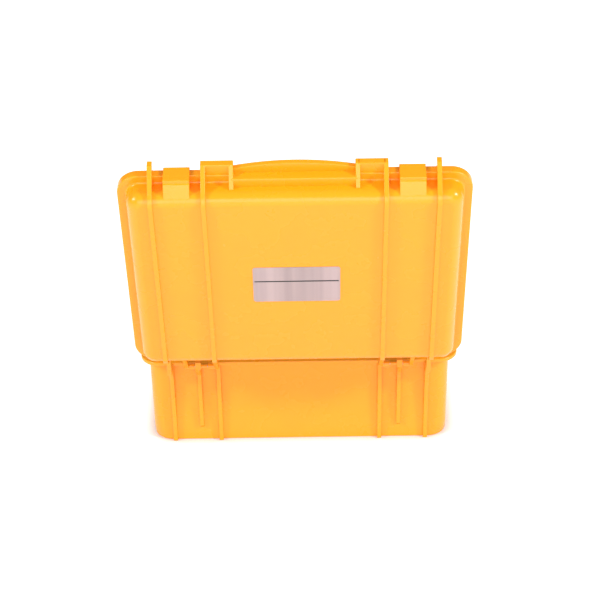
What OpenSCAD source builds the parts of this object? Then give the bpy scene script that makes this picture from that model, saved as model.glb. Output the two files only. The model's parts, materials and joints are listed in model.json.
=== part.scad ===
// Micro-ohmmeter built into a two-part moulded carrying case, with the lid open.
// The origin is the centre of the base's underside. +X is to the right of a user who faces the panel,
// -Y points at that user, +Z is up. Lengths are in millimetres and angles in degrees.

/* [Case outline] */
// Length of both rims, left to right
rim_len = 250; // [240:1:275]
// Depth of both rims, front to back
rim_dep = 188; // [182:1:205]
// Plan corner radius of both rims
rim_corner_r = 16; // [11:0.5:17]
// How far the rims stand out from the walls
rim_overhang = 6.5; // [6:0.25:8]
// Plan corner radius of the walls
wall_corner_r = 10; // [9:0.5:12]
// Radius along the lid's face edge
edge_r = 8.5; // [6.5:0.25:8.75]
// Radius along the base's bottom edge
foot_r = 3.5; // [3.3:0.1:6]
// Thickness of the moulded walls
wall = 2.8; // [2.3:0.1:3.2]
// Height of the base, from the floor to the parting plane
base_h = 77.5; // [74:0.5:90]
// Thickness of the base's rim
base_rim_t = 3.2; // [2.6:0.1:4.5]
// How far the base's walls draw in towards the floor
draft_in = 1.35; // [0.8:0.05:1.8]
// Height of the lid, from its underside to its outer face
lid_h = 23.2; // [21.5:0.25:30]
// Thickness of the lid's rim
lid_rim_t = 6.6; // [5.6:0.2:7.6]
// How far the lid's walls draw in towards its face
lid_draft_in = 0.6; // [0.3:0.1:1]
// How much farther in the lid's back wall stands than its other walls
lid_back_in = 4.7; // [3:0.1:6]
// Air between the two rims when the lid is closed
parting_gap = 0.3; // [0.2:0.05:0.5]

/* [Seal] */
// Distance from the rim's edge to the middle of the seal
seal_inset = 4.6; // [4.2:0.1:4.8]
// Width of the groove in the lid's rim
groove_w = 3.0; // [2.6:0.1:3.2]
// Depth of the groove in the lid's rim
groove_d = 3.2; // [2.8:0.1:4]
// Air at each side of the seal
seal_gap = 0.15; // [0.1:0.05:0.25]
// Width of the tongue on the base's rim
tongue_w = 1.8; // [1.4:0.1:2]
// Height of the tongue on the base's rim
tongue_h = 1.3; // [1:0.1:1.6]

/* [Ribs and fins] */
// Thickness of the ribs and fins
rib_t = 3.4; // [2.8:0.1:4]
// Distance from the rims' ends to the outer ribs
rib_out_inset = 24.3; // [22:0.1:26]
// Distance from the rims' ends to the inner ribs
rib_in_inset = 61.3; // [59:0.1:65]
// Distance from the inner ribs to the hinge ribs on the base's back
rib_mid_step = 15.2; // [14.8:0.1:16]
// Distance from the inner ribs to the short front ribs
rib_short_step = 19.6; // [18:0.1:24]
// Height of the ribs over the lid's face
face_rib_h = 2.2; // [1.4:0.1:3]
// Height of the ribs over the base's walls
base_rib_h = 4.7; // [3.5:0.1:5.5]
// Height of the ribs over the base's walls at the floor
rib_foot_h = 2.4; // [1.8:0.1:3.4]
// How far the front fins stand out from the rims
fin_reach = 8.0; // [7:0.25:10]
// Height of the square foot of the lid's front fins
fin_foot_h = 5.0; // [4:0.25:6]
// Height over the floor at which the base's front ribs start to flare
flare_low_z = 42; // [38:1:44]
// Height over the floor at which the base's front ribs reach full depth
flare_full_z = 53; // [50:1:55]
// Height over the floor of the hinge rib's foot
mid_foot_z = 12; // [8:1:18]
// Turn of the rounded top of a lid rib before it runs straight to its fin
crest_turn = 58; // [50:1:65]

/* [Front lip] */
// Thickness of the curved lip over the handle
lip_t = 3.9; // [3:0.1:4.5]
// How far the lip stands out at its middle
lip_mid_reach = 7.9; // [7:0.1:9]
// How far the lip stands out at its ends
lip_end_reach = 3.2; // [2.6:0.1:4]
// Thickness of the straight bars between the inner and short fins
bar_t = 5.4; // [4.4:0.1:5.6]
// Height of the thickened rim behind the lip
lip_band_h = 11.3; // [9:0.1:12]

/* [Hinge] */
// Distance from the rims' back edge to the hinge axis
hinge_back = 11.8; // [11.2:0.1:13]
// Height of the hinge axis over the base's rim
hinge_up = 4.0; // [3.8:0.1:4.6]
// Angle between the closed and the open lid
lid_open = 105.5; // [95:0.5:112]
// Outer diameter of the hinge barrels
barrel_d = 4.4; // [4.2:0.1:5.2]
// Diameter of the hinge pins
hinge_pin_d = 1.8; // [1.6:0.1:2.2]
// Length of the inner barrel on the lid
barrel_in_len = 8.7; // [7.5:0.1:9.4]
// Length of the outer barrel on the lid
barrel_out_len = 8.0; // [7:0.1:9]
// Side gap between hinge barrels
hinge_gap = 0.3; // [0.25:0.05:0.5]
// How far the hinge pins stop short of the barrels' ends
pin_inset = 0.5; // [0.2:0.1:1]
// Radial clearance of all pins and shafts in their bores
pin_fit = 0.05; // [0.03:0.01:0.08]
// How far the lid's stop fins reach behind the hinge axis
stop_back = 7.7; // [7.2:0.1:9]
// Height of the lid's stop fins
stop_h = 7.4; // [6.4:0.2:8.4]
// Gap between a stop fin and its seat on the base with the lid open
stop_gap = 0.3; // [0.25:0.05:0.5]
// Height over the floor at which the base's outer ribs flare out to the stop seat
seat_low_z = 60; // [54:1:64]

/* [Latches] */
// Distance from the rims' ends to each latch
latch_inset = 42.8; // [42.2:0.1:43.4]
// Width of each latch and of the catch that it hooks over
latch_w = 18.5; // [16:0.25:19]
// How far the catch stands out from the lid's rim
catch_reach = 2.3; // [1.8:0.1:3]
// Height of the catch over the base's rim
catch_h = 14.8; // [13.5:0.1:15.2]
// Depth of the ledge on the catch
catch_ledge = 2.8; // [2.4:0.1:3.2]
// Thickness of a latch
latch_t = 3.0; // [2.6:0.1:3.4]
// Height of the latch pivots over the floor
latch_z = 52; // [50:0.5:54]
// Diameter of the latch pins
latch_pin_d = 2.4; // [2:0.1:3]
// Air between a closed latch and the catch
latch_gap = 0.4; // [0.3:0.05:0.6]
// Thickness of the latch lugs
lug_t = 3.0; // [2.4:0.1:3.4]
// Angle between a hanging and a closed latch
latch_swing = 180; // [170:1:184]

/* [Handle] */
// Height of the handle's pivots over the floor
handle_z = 62; // [60:0.5:64]
// Distance from the rim's front edge to the handle's pivots
handle_out = 3.2; // [2.8:0.1:3.8]
// Thickness of the handle, front to back
handle_t = 8.0; // [6.5:0.25:8.5]
// Drop of the hanging handle below its pivots
handle_drop = 37; // [33:1:42]
// Height of the handle's grip
grip_h = 14; // [12:0.5:16]
// Diameter of the handle's pivot eyes
handle_eye_d = 9.6; // [8.6:0.2:10.4]
// Diameter of the handle's pins
handle_pin_d = 3.0; // [2.4:0.1:4]
// Side gap between the handle's arms and the ribs
handle_gap = 0.6; // [0.4:0.05:1]
// Outer corner radius of the handle
handle_corner_r = 11; // [8:0.5:13]

/* [Name label] */
// Length of the label
label_len = 63.2; // [50:0.2:64]
// Depth of the label
label_dep = 34.6; // [26:0.2:45]
// Thickness of the label
label_t = 0.4; // [0.3:0.05:0.6]
// Corner radius of the label
label_r = 2.0; // [1:0.25:4]
// Distance from the middle of the lid's face to the label, towards the front
label_shift = 0.15; // [-10:0.05:15]

/* [Panel] */
// Depth of the panel's top below the base's rim
panel_drop = 7.5; // [6.5:0.25:9]
// Thickness of the panel
panel_t = 2.5; // [2:0.1:3]
// Gap between the panel and the walls
panel_gap = 0.6; // [0.4:0.1:0.9]
// Corner radius of the panel
panel_r = 6.4; // [6:0.1:9]
// Distance from the panel's edges to its screws
screw_inset = 6.5; // [6.2:0.1:8]
// Diameter of the panel posts
post_d = 9; // [8:0.25:10]
// Diameter of the small screws
screw_d = 3.0; // [2.5:0.1:3.2]
// Diameter of the small screws' heads
screw_head_d = 5.6; // [5:0.1:6.2]
// Height of the small screws' heads
screw_head_h = 2.0; // [1.6:0.1:2.4]
// Length of the panel screws below their heads
screw_len = 12; // [9:0.5:16]
// Width and depth of the screwdriver slots
slot_w = 0.9; // [0.7:0.1:1.2]

/* [Display] */
// Distance from the rims' left end to the middle of the display
display_inset = 79; // [75:1:85]
// Distance from the rims' back edge to the middle of the display
display_back = 48; // [44:1:52]
// Length of the display's bezel
bezel_len = 98; // [88:1:106]
// Depth of the display's bezel
bezel_dep = 44; // [40:1:48]
// Height of the bezel over the panel
bezel_h = 2.2; // [1.6:0.1:3]
// Length of the display's window
window_len = 80; // [70:1:84]
// Depth of the display's window
window_dep = 30; // [26:1:32]
// Thickness of the display's window
window_t = 1.4; // [1:0.1:1.6]
// Height of the display module below the panel
module_h = 7.5; // [6:0.5:10]

/* [Range switch] */
// Distance from the rims' right end to the range switch
range_inset = 95; // [91:1:99]
// Place of the range switch, front to back
range_y = 6; // [2:1:10]
// Diameter of the range knob's skirt
range_knob_d = 36; // [30:0.5:40]
// Height of the range knob
range_knob_h = 17; // [14:0.5:18.5]
// Width of the range knob's grip bar
range_bar_w = 9; // [7:0.5:11]
// Diameter of the range switch's shaft
range_shaft_d = 6; // [5:0.25:6.5]
// Outer diameter of the range switch's bush
bush_d = 9.4; // [8.8:0.1:10.4]
// Diameter of the range switch's body
switch_d = 27; // [24:0.5:30]
// Height of the range switch's body
switch_h = 18; // [14:0.5:20]
// Angle of the range knob at its first position, to the left of straight back
range_first = 60; // [45:1:75]

/* [Zero adjuster] */
// Place of the zero adjuster, left to right
zero_x = -30; // [-34:1:-26]
// Place of the zero adjuster, front to back
zero_y = -6; // [-10:1:-3]
// Diameter of the zero knob
zero_knob_d = 17; // [14:0.5:20]
// Height of the zero knob
zero_knob_h = 13; // [11:0.5:15]
// Diameter of the zero adjuster's shaft
zero_shaft_d = 4; // [3.4:0.1:4.4]
// Diameter of the zero adjuster's body
pot_d = 16; // [14:0.5:18]
// Height of the zero adjuster's body
pot_h = 9; // [7:0.5:12]

/* [Test button] */
// Distance from the rims' left end to the test button
test_inset = 45; // [39:1:51]
// Place of the test button, front to back
test_y = -6; // [-10:1:-3]
// Diameter of the test button's housing
button_ring_d = 20; // [18:0.5:24]
// Diameter of the test button
button_d = 13; // [11:0.5:14]
// Travel of the test button
button_travel = 3.0; // [2:0.1:3.4]
// Height of the button's housing over the panel
button_ring_h = 3.0; // [2.4:0.1:4]
// Depth of the button's housing below the panel
button_depth = 18; // [15:0.5:22]

/* [Power switch] */
// Distance from the rims' right end to the column of switch, inlet and fuse
column_inset = 41; // [39:0.5:43]
// Distance from the rims' back edge to the power switch
power_back = 92; // [89:1:95]
// Length of the power switch's frame, front to back
power_len = 21; // [19:0.5:24]
// Width of the power switch's frame
power_w = 15; // [13:0.5:17]
// Depth of the power switch below the panel
power_depth = 20; // [16:0.5:22]
// Tilt of the rocker, each way
rocker_tilt = 9; // [7:0.5:10]

/* [Mains inlet and fuse] */
// Distance from the rims' back edge to the mains inlet
inlet_back = 36; // [34:0.5:39]
// Length of the inlet's flange
inlet_len = 31; // [29:0.5:34]
// Depth of the inlet's flange, front to back
inlet_dep = 24; // [22:0.5:26]
// Length of the inlet's socket
socket_len = 24.4; // [23.5:0.1:25]
// Depth of the inlet's socket, front to back
socket_dep = 16.6; // [16:0.1:17.2]
// How deep the inlet's socket is
socket_deep = 16; // [14:0.5:18]
// Distance from the rims' back edge to the fuse
fuse_back = 64; // [61:1:66]
// Diameter of the fuse holder's flange
fuse_ring_d = 17; // [15:0.5:19]
// Depth of the fuse holder below the panel
fuse_depth = 30; // [28:0.5:32]
// Diameter of the glass fuse
fuse_d = 5.2; // [5:0.1:6]
// Length of the glass fuse
fuse_len = 20; // [18:0.5:21]

/* [Terminals] */
// Distance from the rims' left end to the first terminal
terminal_inset = 51; // [47:1:55]
// Distance between neighbouring terminals
terminal_step = 32; // [28:0.5:34]
// Distance from the rims' front edge to the terminals
terminal_front = 44; // [40:1:48]
// Diameter of the terminals' insulators and caps
terminal_d = 15; // [13:0.5:17]
// Height of the terminals' insulators over the panel
insulator_h = 3.2; // [2.6:0.1:4]
// Height of the terminals' screw caps
cap_h = 11; // [9:0.5:12]
// Outer diameter of the terminals' studs
stud_d = 6.2; // [6:0.1:7]
// Diameter of the sockets in the studs
jack_d = 4.1; // [4:0.05:4.2]
// Depth of the sockets in the studs
jack_deep = 20; // [17:0.5:22]
// Length of the studs below the panel
stud_tail = 20; // [18:0.5:24]

/* [Inside] */
// Length of the circuit board
board_len = 146; // [140:1:150]
// Depth of the circuit board, front to back
board_dep = 128; // [122:1:132]
// Thickness of the circuit board
board_t = 1.6; // [1.4:0.1:2]
// Distance from the rims' left end to the circuit board
board_inset_left = 22; // [20:0.5:24]
// Height of the circuit board's pillars
pillar_h = 9; // [8:0.5:12]
// Width of the circuit board's hexagonal pillars
pillar_d = 6.4; // [5.8:0.1:7]
// Distance from the board's edges to its screws
board_inset = 6; // [5:0.5:8]
// Length of the transformer's core
core_len = 44; // [40:1:46]
// Depth of the transformer's core, front to back
core_dep = 22; // [18:1:26]
// Height of the transformer's core
core_h = 36; // [32:1:40]
// Distance from the rims' front edge to the middle of the transformer
core_front = 60; // [56:1:63]
// Width of each limb of the transformer's core
limb_w = 7.2; // [6:0.2:8]
// Diameter of the filter capacitors
can_d = 16; // [14:0.5:18]
// Height of the filter capacitors
can_h = 25; // [20:0.5:28]

/* [Hidden] */
$fn = 64;
hull_fn = 32;

// Distance that a cut runs past the surface that it opens
over = 1;
// Thickness of the top layer that closes a hull
layer = 0.1;
// Air between pieces of different bodies that do not fit each other
air = 0.3;
// Number of terminals, each with nodes of its own
terminals = 4;

amber = [1.0, 0.72, 0.16];
steel = [0.72, 0.73, 0.75];
brass = [0.85, 0.68, 0.35];
black = [0.10, 0.10, 0.11];
grey = [0.36, 0.38, 0.40];

body_len = rim_len - 2*rim_overhang;
body_dep = rim_dep - 2*rim_overhang;
lid_dep = body_dep - lid_back_in;
rim_x = rim_len/2;
rim_y = rim_dep/2;
body_y = body_dep/2;
root_y = body_y - wall_corner_r;
lid_z = base_h + parting_gap;
face_z = lid_z + lid_h;
hinge_y = rim_y + hinge_back;
hinge_z = base_h + hinge_up;
seal_t = groove_d + parting_gap - tongue_h - air;
panel_z = base_h - panel_drop;
under_z = panel_z - panel_t;

// Distances from the middle that follow the rims
rib_out_x = rim_x - rib_out_inset;
rib_in_x = rim_x - rib_in_inset;
rib_mid_x = rib_in_x + rib_mid_step;
rib_short_x = rib_in_x - rib_short_step;
latch_x = rim_x - latch_inset;

// Places of the panel's fittings, the board and the transformer
display_x = display_inset - rim_x;
display_y = rim_y - display_back;
range_x = rim_x - range_inset;
test_x = test_inset - rim_x;
column_x = rim_x - column_inset;
power_y = rim_y - power_back;
inlet_y = rim_y - inlet_back;
fuse_y = rim_y - fuse_back;
terminal_x = terminal_inset - rim_x;
terminal_y = terminal_front - rim_y;
board_x = board_inset_left + board_len/2 - rim_x;
core_y = core_front - rim_y;

// Draw-in of the base's walls at height z
function wall_in(z) = draft_in*(base_h - z)/(base_h - foot_r);
// Side-view place, on the open lid, of a point of the closed lid
function opened(p) = [
    hinge_y + (p[0] - hinge_y)*cos(lid_open) + (p[1] - hinge_z)*sin(lid_open),
    hinge_z - (p[0] - hinge_y)*sin(lid_open) + (p[1] - hinge_z)*cos(lid_open)];
// Points along an arc about c, from angle a0 to a1 in n steps
function arc(c, r, a0, a1, n) = [for (i = [0:n]) c + r*[cos(a0 + (a1 - a0)*i/n), sin(a0 + (a1 - a0)*i/n)]];

module both_sides() {
    children();
    mirror([1, 0, 0]) children();
}

// Draws a piece of the closed lid where the open lid holds it
module open_lid() {
    translate([0, hinge_y, hinge_z])
        rotate([-lid_open, 0, 0])
            translate([0, -hinge_y, -hinge_z])
                children();
}

// Plate of thickness t centred on x, from an outline in the side view
module side_plate(x, t, outline) {
    translate([x - t/2, 0, 0])
        rotate([90, 0, 90])
            linear_extrude(t) polygon(outline);
}

// Cylinder along X from x0 to x1 about the side-view point [y, z]
module rod_x(x0, x1, y, z, d) {
    translate([x0, y, z])
        rotate([0, 90, 0])
            cylinder(d = d, h = x1 - x0);
}

module tube(outer_d, inner_d, h) {
    difference() {
        cylinder(d = outer_d, h = h);
        translate([0, 0, -over]) cylinder(d = inner_d, h = h + 2*over);
    }
}

module rounded_plan(l, d, r) {
    square([l - 2*r, d], center = true);
    square([l, d - 2*r], center = true);
    for (sx = [-1, 1], sy = [-1, 1])
        translate([sx*(l/2 - r), sy*(d/2 - r)]) circle(r);
}

module block(l, d, h, r) {
    linear_extrude(h) rounded_plan(l, d, r);
}

// Rounded disc that shapes one corner of a tub
module corner_disc(corner_r, r) {
    rotate_extrude()
        intersection() {
            translate([corner_r - r, 0]) circle(r);
            translate([0, -r]) square([corner_r, 2*r]);
        }
}

// Drafted box with rounded plan corners and a rounded bottom edge
module tub(top_l, top_d, low_l, low_d, h, corner_r, r) {
    $fn = hull_fn;
    hull() {
        for (sx = [-1, 1], sy = [-1, 1]) {
            translate([sx*(low_l/2 - corner_r), sy*(low_d/2 - corner_r), r]) corner_disc(corner_r, r);
            translate([sx*(top_l/2 - corner_r), sy*(top_d/2 - corner_r), h - layer])
                cylinder(r = corner_r, h = layer);
        }
    }
}

// Closed ring in plan that follows the rims, its middle line inset from their edge
module rim_ring(w) {
    outer = seal_inset - w/2;
    inner = seal_inset + w/2;
    difference() {
        rounded_plan(rim_len - 2*outer, rim_dep - 2*outer, rim_corner_r - outer);
        rounded_plan(rim_len - 2*inner, rim_dep - 2*inner, rim_corner_r - inner);
    }
}

// Hinge stations along X, from the inner barrel outwards
barrel_in_x = rib_in_x - rib_t/2;
knuckle_x0 = barrel_in_x + barrel_in_len + hinge_gap;
knuckle_x1 = rib_mid_x + rib_t/2;
barrel_out_x = knuckle_x1 + hinge_gap;
hinge_end_x = barrel_out_x + barrel_out_len;
barrel_r = barrel_d/2;

// Latch and handle axes in the side view
latch_y = -(rim_y + catch_reach + latch_gap + latch_t/2);
latch_eye_d = latch_pin_d + 1.4*latch_t;
lug_x = latch_w/2 + air + lug_t/2;
lug_d = latch_eye_d + lug_t/4;
handle_y = -(rim_y + handle_out);
fin_y = rim_y + fin_reach;
arm_x0 = rib_short_x + rib_t/2 + handle_gap;
arm_x1 = rib_in_x - rib_t/2 - handle_gap;

rib_crest_y = body_y + base_rib_h;
rib_floor_y = body_y - draft_in + rib_foot_h;

// Seat on the base's outer ribs that the lid's stop fins meet
stop_low = lid_z + parting_gap;
seat_level = stop_low - stop_gap;
seat_top_y = hinge_y + (hinge_z + (seat_level - hinge_z)*cos(lid_open) - base_h + parting_gap)/sin(lid_open);
seat_tip = opened([hinge_y + stop_back, seat_level]);
seat_top = opened([seat_top_y, seat_level]);

rear_outer_rib = [[root_y, 0], [rib_floor_y, 0], [rib_crest_y, seat_low_z], seat_tip, seat_top,
                  [root_y, base_h - parting_gap]];
rear_inner_rib = [[root_y, 0], [rib_floor_y, 0], [rib_crest_y, base_h - base_rim_t], [root_y, base_h - base_rim_t]];
hinge_rib = [[root_y, mid_foot_z], [body_y - draft_in, mid_foot_z], [rib_floor_y, mid_foot_z + rib_foot_h],
             [rib_crest_y, seat_low_z + base_rib_h], [hinge_y + barrel_r, hinge_z - barrel_r/2],
             [hinge_y, hinge_z], [hinge_y - barrel_r, hinge_z], [rim_y + parting_gap, base_h],
             [root_y, base_h]];
knuckle_web = [[root_y, base_h - base_rim_t], [rim_y, base_h - base_rim_t],
               [hinge_y + barrel_r, hinge_z - barrel_r/2], [hinge_y, hinge_z], [hinge_y - barrel_r, hinge_z],
               [rim_y + parting_gap, base_h], [root_y, base_h]];
front_long_rib = [[-root_y, 0], [-rib_floor_y, 0], [-rib_crest_y, flare_low_z], [-fin_y, flare_full_z],
                  [-fin_y, base_h], [-root_y, base_h]];
front_short_rib = [[-root_y, flare_low_z], [-body_y, flare_low_z + base_rib_h], [-fin_y, flare_full_z],
                   [-fin_y, base_h], [-root_y, base_h]];

// Side view of the lid's ribs: rounded front crest, then the back
crest_r = edge_r + face_rib_h;
crest_y = body_y - lid_draft_in - edge_r;
crest_z = face_z - edge_r;
rib_steps = 8;
front_crest = arc([-crest_y, crest_z], crest_r, 90, 90 + crest_turn, rib_steps);
back_crest = arc([crest_y - lid_back_in, crest_z], crest_r, 90 - crest_turn, 90, rib_steps);
fin_front = [[-fin_y, lid_z + fin_foot_h], [-fin_y, lid_z]];
arm_back = [[hinge_y - barrel_r, hinge_z - barrel_r], [hinge_y, hinge_z], [hinge_y + barrel_r/2, hinge_z + 0.8*barrel_r]];
stop_back_pts = [[rim_y, lid_z], [rim_y, stop_low], [hinge_y + stop_back, stop_low],
                 [hinge_y + stop_back, lid_z + stop_h - barrel_r/2],
                 [hinge_y + stop_back - barrel_r/2, lid_z + stop_h], [rim_y + parting_gap, lid_z + stop_h]];
inner_lid_rib = concat(front_crest, fin_front, [[rim_y, lid_z], [rim_y, hinge_z - barrel_r]], arm_back, back_crest);
outer_lid_rib = concat(front_crest, fin_front, stop_back_pts, back_crest);
arm_outline = concat([[root_y, lid_z], [rim_y, lid_z], [rim_y, hinge_z - barrel_r]], arm_back,
                     [back_crest[0] - [face_rib_h, face_rib_h/2], [root_y, crest_z + edge_r/2]]);
short_lid_fin = [[-fin_y, lid_z], [-fin_y, lid_z + fin_foot_h], [-crest_y - crest_r*sin(crest_turn), crest_z],
                 [-root_y, crest_z], [-root_y, lid_z]];

module lug_plate(x) {
    side_plate(x, lug_t, [[-root_y, latch_z - lug_d], [-body_y, latch_z - lug_d], [latch_y, latch_z - lug_d/2],
                          [latch_y, latch_z + lug_d/2], [-rim_y, base_h - base_rim_t], [-root_y, base_h - base_rim_t]]);
    rod_x(x - lug_t/2, x + lug_t/2, latch_y, latch_z, lug_d);
}

module base_half_ribs() {
    side_plate(rib_out_x, rib_t, rear_outer_rib);
    side_plate(rib_in_x, rib_t, rear_inner_rib);
    side_plate(rib_mid_x, rib_t, hinge_rib);
    side_plate((knuckle_x0 + knuckle_x1)/2, knuckle_x1 - knuckle_x0, knuckle_web);
    rod_x(knuckle_x0, knuckle_x1, hinge_y, hinge_z, barrel_d);
    side_plate(rib_out_x, rib_t, front_long_rib);
    side_plate(rib_in_x, rib_t, front_long_rib);
    side_plate(rib_short_x, rib_t, front_short_rib);
    lug_plate(latch_x - lug_x);
    lug_plate(latch_x + lug_x);
}

module base_half_bores() {
    rod_x(knuckle_x0 - over, knuckle_x1 + over, hinge_y, hinge_z, hinge_pin_d + 2*pin_fit);
    rod_x(latch_x - lug_x - lug_t, latch_x + lug_x + lug_t, latch_y, latch_z, latch_pin_d + 2*pin_fit);
    rod_x(rib_short_x - rib_t, rib_in_x + rib_t, handle_y, handle_z, handle_pin_d + 2*pin_fit);
}

panel_len = body_len - 2*wall - 2*wall_in(under_z) - 2*panel_gap;
panel_dep = body_dep - 2*wall - 2*wall_in(under_z) - 2*panel_gap;
screw_x = panel_len/2 - screw_inset;
screw_y = panel_dep/2 - screw_inset;
panel_screw_places = [[-screw_x, -screw_y], [screw_x, -screw_y], [-screw_x, 0], [screw_x, 0],
                      [-screw_x, screw_y], [screw_x, screw_y]];

module panel_post() {
    difference() {
        translate([0, 0, wall]) cylinder(d = post_d, h = under_z - wall);
        translate([0, 0, under_z - screw_len]) cylinder(d = screw_d + 2*pin_fit, h = screw_len + over);
    }
}

module base_shell() {
    color(amber) {
        difference() {
            union() {
                tub(body_len, body_dep, body_len - 2*draft_in, body_dep - 2*draft_in, base_h, wall_corner_r, foot_r);
                translate([0, 0, base_h - base_rim_t]) block(rim_len, rim_dep, base_rim_t, rim_corner_r);
                both_sides() base_half_ribs();
            }
            translate([0, 0, wall])
                tub(body_len - 2*wall, body_dep - 2*wall, body_len - 2*draft_in - 2*wall,
                    body_dep - 2*draft_in - 2*wall, base_h - wall + over, wall_corner_r - wall, foot_r - wall);
            both_sides() base_half_bores();
        }
        translate([0, 0, base_h]) linear_extrude(tongue_h) rim_ring(tongue_w);
        for (p = panel_screw_places) translate([p[0], p[1], 0]) panel_post();
    }
}

// Lip, bars and catches on the front of the closed lid
module lid_front() {
    half = rib_short_x;
    sag = lip_mid_reach - lip_end_reach;
    lip_r = (half*half + sag*sag)/(2*sag);
    intersection() {
        translate([0, lip_r - rim_y - lip_mid_reach, lid_z]) cylinder(r = lip_r, h = lip_t, $fn = 4*$fn);
        translate([-half, -fin_y - over, lid_z]) cube([2*half, fin_y + over - root_y, lip_t]);
    }
    translate([-half, -rim_y, lid_z]) cube([2*half, rim_y - root_y, lip_band_h]);
    both_sides() {
        translate([rib_short_x, -fin_y, lid_z]) cube([rib_in_x - rib_short_x, fin_y - root_y, bar_t]);
        side_plate(latch_x, latch_w, catch_outline);
    }
}

catch_top = base_h + catch_h;
catch_y = -(rim_y + catch_reach);
catch_outline = [[-root_y, lid_z], [catch_y, lid_z], [catch_y, catch_top], [catch_y + catch_ledge, catch_top],
                 [catch_y + catch_ledge, catch_top + catch_ledge/3],
                 [-crest_y - edge_r*cos(45), crest_z + edge_r*sin(45)], [-root_y, crest_z]];

module lid_half_ribs() {
    side_plate(rib_out_x, rib_t, outer_lid_rib);
    side_plate(rib_in_x, rib_t, inner_lid_rib);
    side_plate(hinge_end_x - rib_t/2, rib_t, arm_outline);
    side_plate(rib_short_x, rib_t, short_lid_fin);
    rod_x(barrel_in_x, barrel_in_x + barrel_in_len, hinge_y, hinge_z, barrel_d);
    rod_x(barrel_out_x, hinge_end_x, hinge_y, hinge_z, barrel_d);
}

module closed_lid() {
    difference() {
        union() {
            translate([0, -lid_back_in/2, face_z])
                mirror([0, 0, 1])
                    tub(body_len, lid_dep, body_len - 2*lid_draft_in, lid_dep - 2*lid_draft_in, lid_h,
                        wall_corner_r, edge_r);
            translate([0, 0, lid_z]) block(rim_len, rim_dep, lid_rim_t, rim_corner_r);
            both_sides() lid_half_ribs();
            lid_front();
        }
        translate([0, -lid_back_in/2, face_z - wall])
            mirror([0, 0, 1])
                tub(body_len - 2*wall, lid_dep - 2*wall, body_len - 2*lid_draft_in - 2*wall,
                    lid_dep - 2*lid_draft_in - 2*wall, lid_h - wall + over, wall_corner_r - wall, edge_r - wall);
        translate([0, 0, lid_z - over]) linear_extrude(groove_d + over) rim_ring(groove_w);
        both_sides() rod_x(barrel_in_x - over, hinge_end_x + over, hinge_y, hinge_z, hinge_pin_d + 2*pin_fit);
    }
}

module lid_shell() {
    color(amber) open_lid() closed_lid();
}

module rim_seal() {
    color(black)
        open_lid()
            translate([0, 0, lid_z + groove_d - seal_t])
                linear_extrude(seal_t) rim_ring(groove_w - 2*seal_gap);
}

module name_label() {
    color([0.90, 0.80, 0.80])
        open_lid()
            translate([0, -lid_back_in/2 - label_shift, face_z]) block(label_len, label_dep, label_t, label_r);
}

module hinge_pin(side) {
    x0 = barrel_in_x + pin_inset;
    x1 = hinge_end_x - pin_inset;
    color(steel) rod_x(side > 0 ? x0 : -x1, side > 0 ? x1 : -x0, hinge_y, hinge_z, hinge_pin_d);
}

// Outline of a closed latch in the side view
latch_in_y = latch_y + latch_t/2;
latch_out_y = latch_y - latch_t/2;
hook_z = catch_top + latch_gap;
hook_in = catch_ledge - latch_gap;
latch_outline = [[latch_in_y, latch_z], [latch_in_y, hook_z], [latch_in_y + hook_in, hook_z],
                 [latch_in_y + hook_in, hook_z + latch_t/2], [latch_in_y, hook_z + latch_t],
                 [latch_y, hook_z + 1.2*latch_t], [latch_out_y - latch_t, hook_z + 2.6*latch_t],
                 [latch_out_y - 1.5*latch_t, hook_z + 2.3*latch_t], [latch_out_y, hook_z],
                 [latch_out_y, latch_z]];

module hanging_latch(side) {
    x = side*latch_x;
    color(amber)
        translate([0, latch_y, latch_z])
            rotate([latch_swing, 0, 0])
                translate([0, -latch_y, -latch_z])
                    difference() {
                        union() {
                            side_plate(x, latch_w, latch_outline);
                            rod_x(x - latch_w/2, x + latch_w/2, latch_y, latch_z, latch_eye_d);
                        }
                        rod_x(x - latch_w/2 - over, x + latch_w/2 + over, latch_y, latch_z, latch_pin_d + 2*pin_fit);
                    }
}

module latch_pin(side) {
    half = lug_x + lug_t/2;
    color(steel) rod_x(side*latch_x - half, side*latch_x + half, latch_y, latch_z, latch_pin_d);
}

module handle_outline() {
    low = handle_z - handle_drop;
    difference() {
        union() {
            translate([0, handle_z - handle_drop/2]) square([2*arm_x1, handle_drop - 2*handle_corner_r], center = true);
            translate([0, low + handle_drop/2]) square([2*arm_x1 - 2*handle_corner_r, handle_drop], center = true);
            for (sx = [-1, 1]) {
                translate([sx*(arm_x1 - handle_corner_r), low + handle_corner_r]) circle(handle_corner_r);
                translate([sx*(arm_x0 + arm_x1)/2, handle_z - handle_drop/4]) square([arm_x1 - arm_x0, handle_drop/2], center = true);
            }
        }
        translate([0, low + grip_h + handle_drop/2]) {
            square([2*arm_x0 - handle_corner_r, handle_drop], center = true);
            translate([0, handle_corner_r/4]) square([2*arm_x0, handle_drop - handle_corner_r/2], center = true);
        }
        for (sx = [-1, 1])
            translate([sx*(arm_x0 - handle_corner_r/2), low + grip_h + handle_corner_r/2]) circle(handle_corner_r/2);
    }
}

module carry_handle() {
    color(amber)
        difference() {
            union() {
                translate([0, handle_y + handle_t/2, 0])
                    rotate([90, 0, 0])
                        linear_extrude(handle_t) handle_outline();
                both_sides() rod_x(arm_x0, arm_x1, handle_y, handle_z, handle_eye_d);
            }
            both_sides() rod_x(arm_x0 - over, arm_x1 + over, handle_y, handle_z, handle_pin_d + 2*pin_fit);
        }
}

module handle_pin(side) {
    x0 = rib_short_x - rib_t/2;
    x1 = rib_in_x + rib_t/2;
    color(steel) rod_x(side > 0 ? x0 : -x1, side > 0 ? x1 : -x0, handle_y, handle_z, handle_pin_d);
}

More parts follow.
